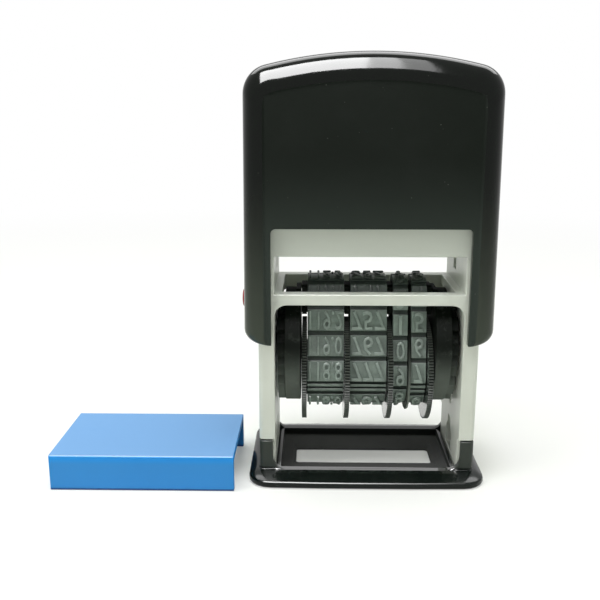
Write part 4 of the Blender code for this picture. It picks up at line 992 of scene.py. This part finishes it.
# Inside each arm a tongue on a thicker root carries the unit's trunnion, below the lock button.
tongue_y = TONGUE_HALF - TONGUE_CORNER
tongue_z = TONGUE_LOW + TONGUE_CORNER
upper_corners = [(TONGUE_HALF, TONGUE_HIGH), (-TONGUE_HALF, TONGUE_HIGH)]
tongue = arc((-tongue_y, tongue_z), TONGUE_CORNER, 180, 270, 8)
tongue += arc((tongue_y, tongue_z), TONGUE_CORNER, 270, 360, 8)
tongue += upper_corners
root = [(-TONGUE_HALF, ROOT_LOW), (TONGUE_HALF, ROOT_LOW)] + upper_corners
for way in (-1, 1):
    for reach_x, outline in ((TONGUE_SPAN, tongue), (ROOT_SPAN, root)):
        ends = sorted(way * x for x in reach_x)
        cut(hood, solid([[(x, y, z) for y, z in outline] for x in ends]), "UNION")
    cut(hood, solid([[(way * x, y, PIVOT_Z + z) for y, z in circle(PIVOT_RADIUS)] for x in PIVOT_SPAN]))
    collar = [(HOOD_SIDE - OVERRUN, COLLAR_RADIUS)]
    lip_centre = (COLLAR_RADIUS - COLLAR_ROUND, COLLAR_END - COLLAR_ROUND)
    collar += [(place, radius) for radius, place in arc(lip_centre, COLLAR_ROUND, 0, 90, 4)]
    cut(hood, solid([disc_ring(radius, way, place) for place, radius in collar]), "UNION")
    cut(hood, solid([disc_ring(radius, way, place) for place, radius in BUTTON_BORE]))
hood_mesh = hood.data
bpy.data.objects.remove(hood)
hood = eased("hood_dressed", hood_mesh, HOOD_EDGE, HOOD_CORNER_ANGLE)
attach(hood, "hood")
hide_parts("hood_shell")


# Lock buttons
# A small red plunger, moulded in plastic, slides in the black collar on each of the hood's arms.
# Pushed in, it locks the hood down for changing the pad.
BUTTON_EDGE = 0.00012
button_red = Finish("button red", {"Specular IOR Level": 0.5})
rub = button_red.noise(900.0, 3.0)
button_red.vary("Base Color", button_red.blend(rub, linear(122, 16, 24), linear(148, 24, 32)))
button_red.vary("Roughness", 0.18 + 0.16 * rub)
for side in ("left", "right"):
    title = f"lock_button_{side}"
    dressed(title, f"{title}_dressed", button_red, f"button_{side}", BUTTON_EDGE)


# Ink pad
# The pad is a blue tray with a deck on top and a black inked felt under it. It lies on the desk
# beside the stamp, the way it comes out of the frame's upper window.
TRAY_EDGE = 0.00016
FELT_EDGE = 0.0002
TRAY_FOOT_SHADOW = (0.0002, 0.0006)
TRAY_EDGE_HIGHLIGHT = (0.0050, 0.0064)
pad_blue = Finish("pad blue", {"Specular IOR Level": 0.22})
cloud = pad_blue.noise(60.0, 3.0)
frost = pad_blue.noise(5200.0, 2.0)
smudge = pad_blue.ramp(pad_blue.noise(150.0, 5.0, 0.65), 0.55, 0.85)
# Painted sheen: faces that look up are painted paler, for the sky's sheen on the deck.
deck = pad_blue.ramp(pad_blue.along(2, pad_blue.facing), 0.5, 0.9)
moulded = pad_blue.blend(cloud, linear(42, 132, 203), linear(48, 138, 208))
deck_painted_sheen = pad_blue.blend(deck, moulded, linear(98, 150, 200))
# Painted shadow: the tray's lowest edge is painted dark blue, for its shadow on the desk.
above_painted_shadow = pad_blue.ramp(pad_blue.along(2), *TRAY_FOOT_SHADOW)
# Painted highlight: a brighter blue strip high on the side walls, for the light along the top edge.
edge_highlight = pad_blue.ramp(pad_blue.along(2), *TRAY_EDGE_HIGHLIGHT) * (1 - deck)
with_edge_highlight = pad_blue.blend(edge_highlight, deck_painted_sheen, linear(14, 141, 222))
lit = pad_blue.blend(above_painted_shadow, linear(14, 60, 120), with_edge_highlight)
pad_blue.vary("Base Color", pad_blue.blend(pad_blue.dust(0.3), lit, linear(150, 190, 225)))
pad_blue.vary("Roughness", 0.46 + 0.12 * smudge + 0.05 * frost)
pad_blue.vary("Normal", pad_blue.bump(frost + 2.0 * cloud, 0.00002, 0.35))
dressed("ink_pad_tray", "ink_pad_tray_dressed", pad_blue, "ink_pad", TRAY_EDGE)

felt_black = Finish("inked felt", {"Specular IOR Level": 0.2})
matted = {"Vector": felt_black.place, "Scale": 2600.0, "Detail": 6.0, "Distortion": 2.0}
fibres = felt_black.node("TexNoise", {}, matted, "Fac")
felt_black.vary("Base Color", felt_black.blend(fibres, linear(14, 14, 22), linear(52, 52, 66)))
felt_black.vary("Roughness", 0.75 + 0.2 * fibres)
felt_black.vary("Normal", felt_black.bump(fibres, 0.00012, 0.8))
dressed("ink_pad_felt", "ink_pad_felt_dressed", felt_black, "ink_pad", FELT_EDGE)
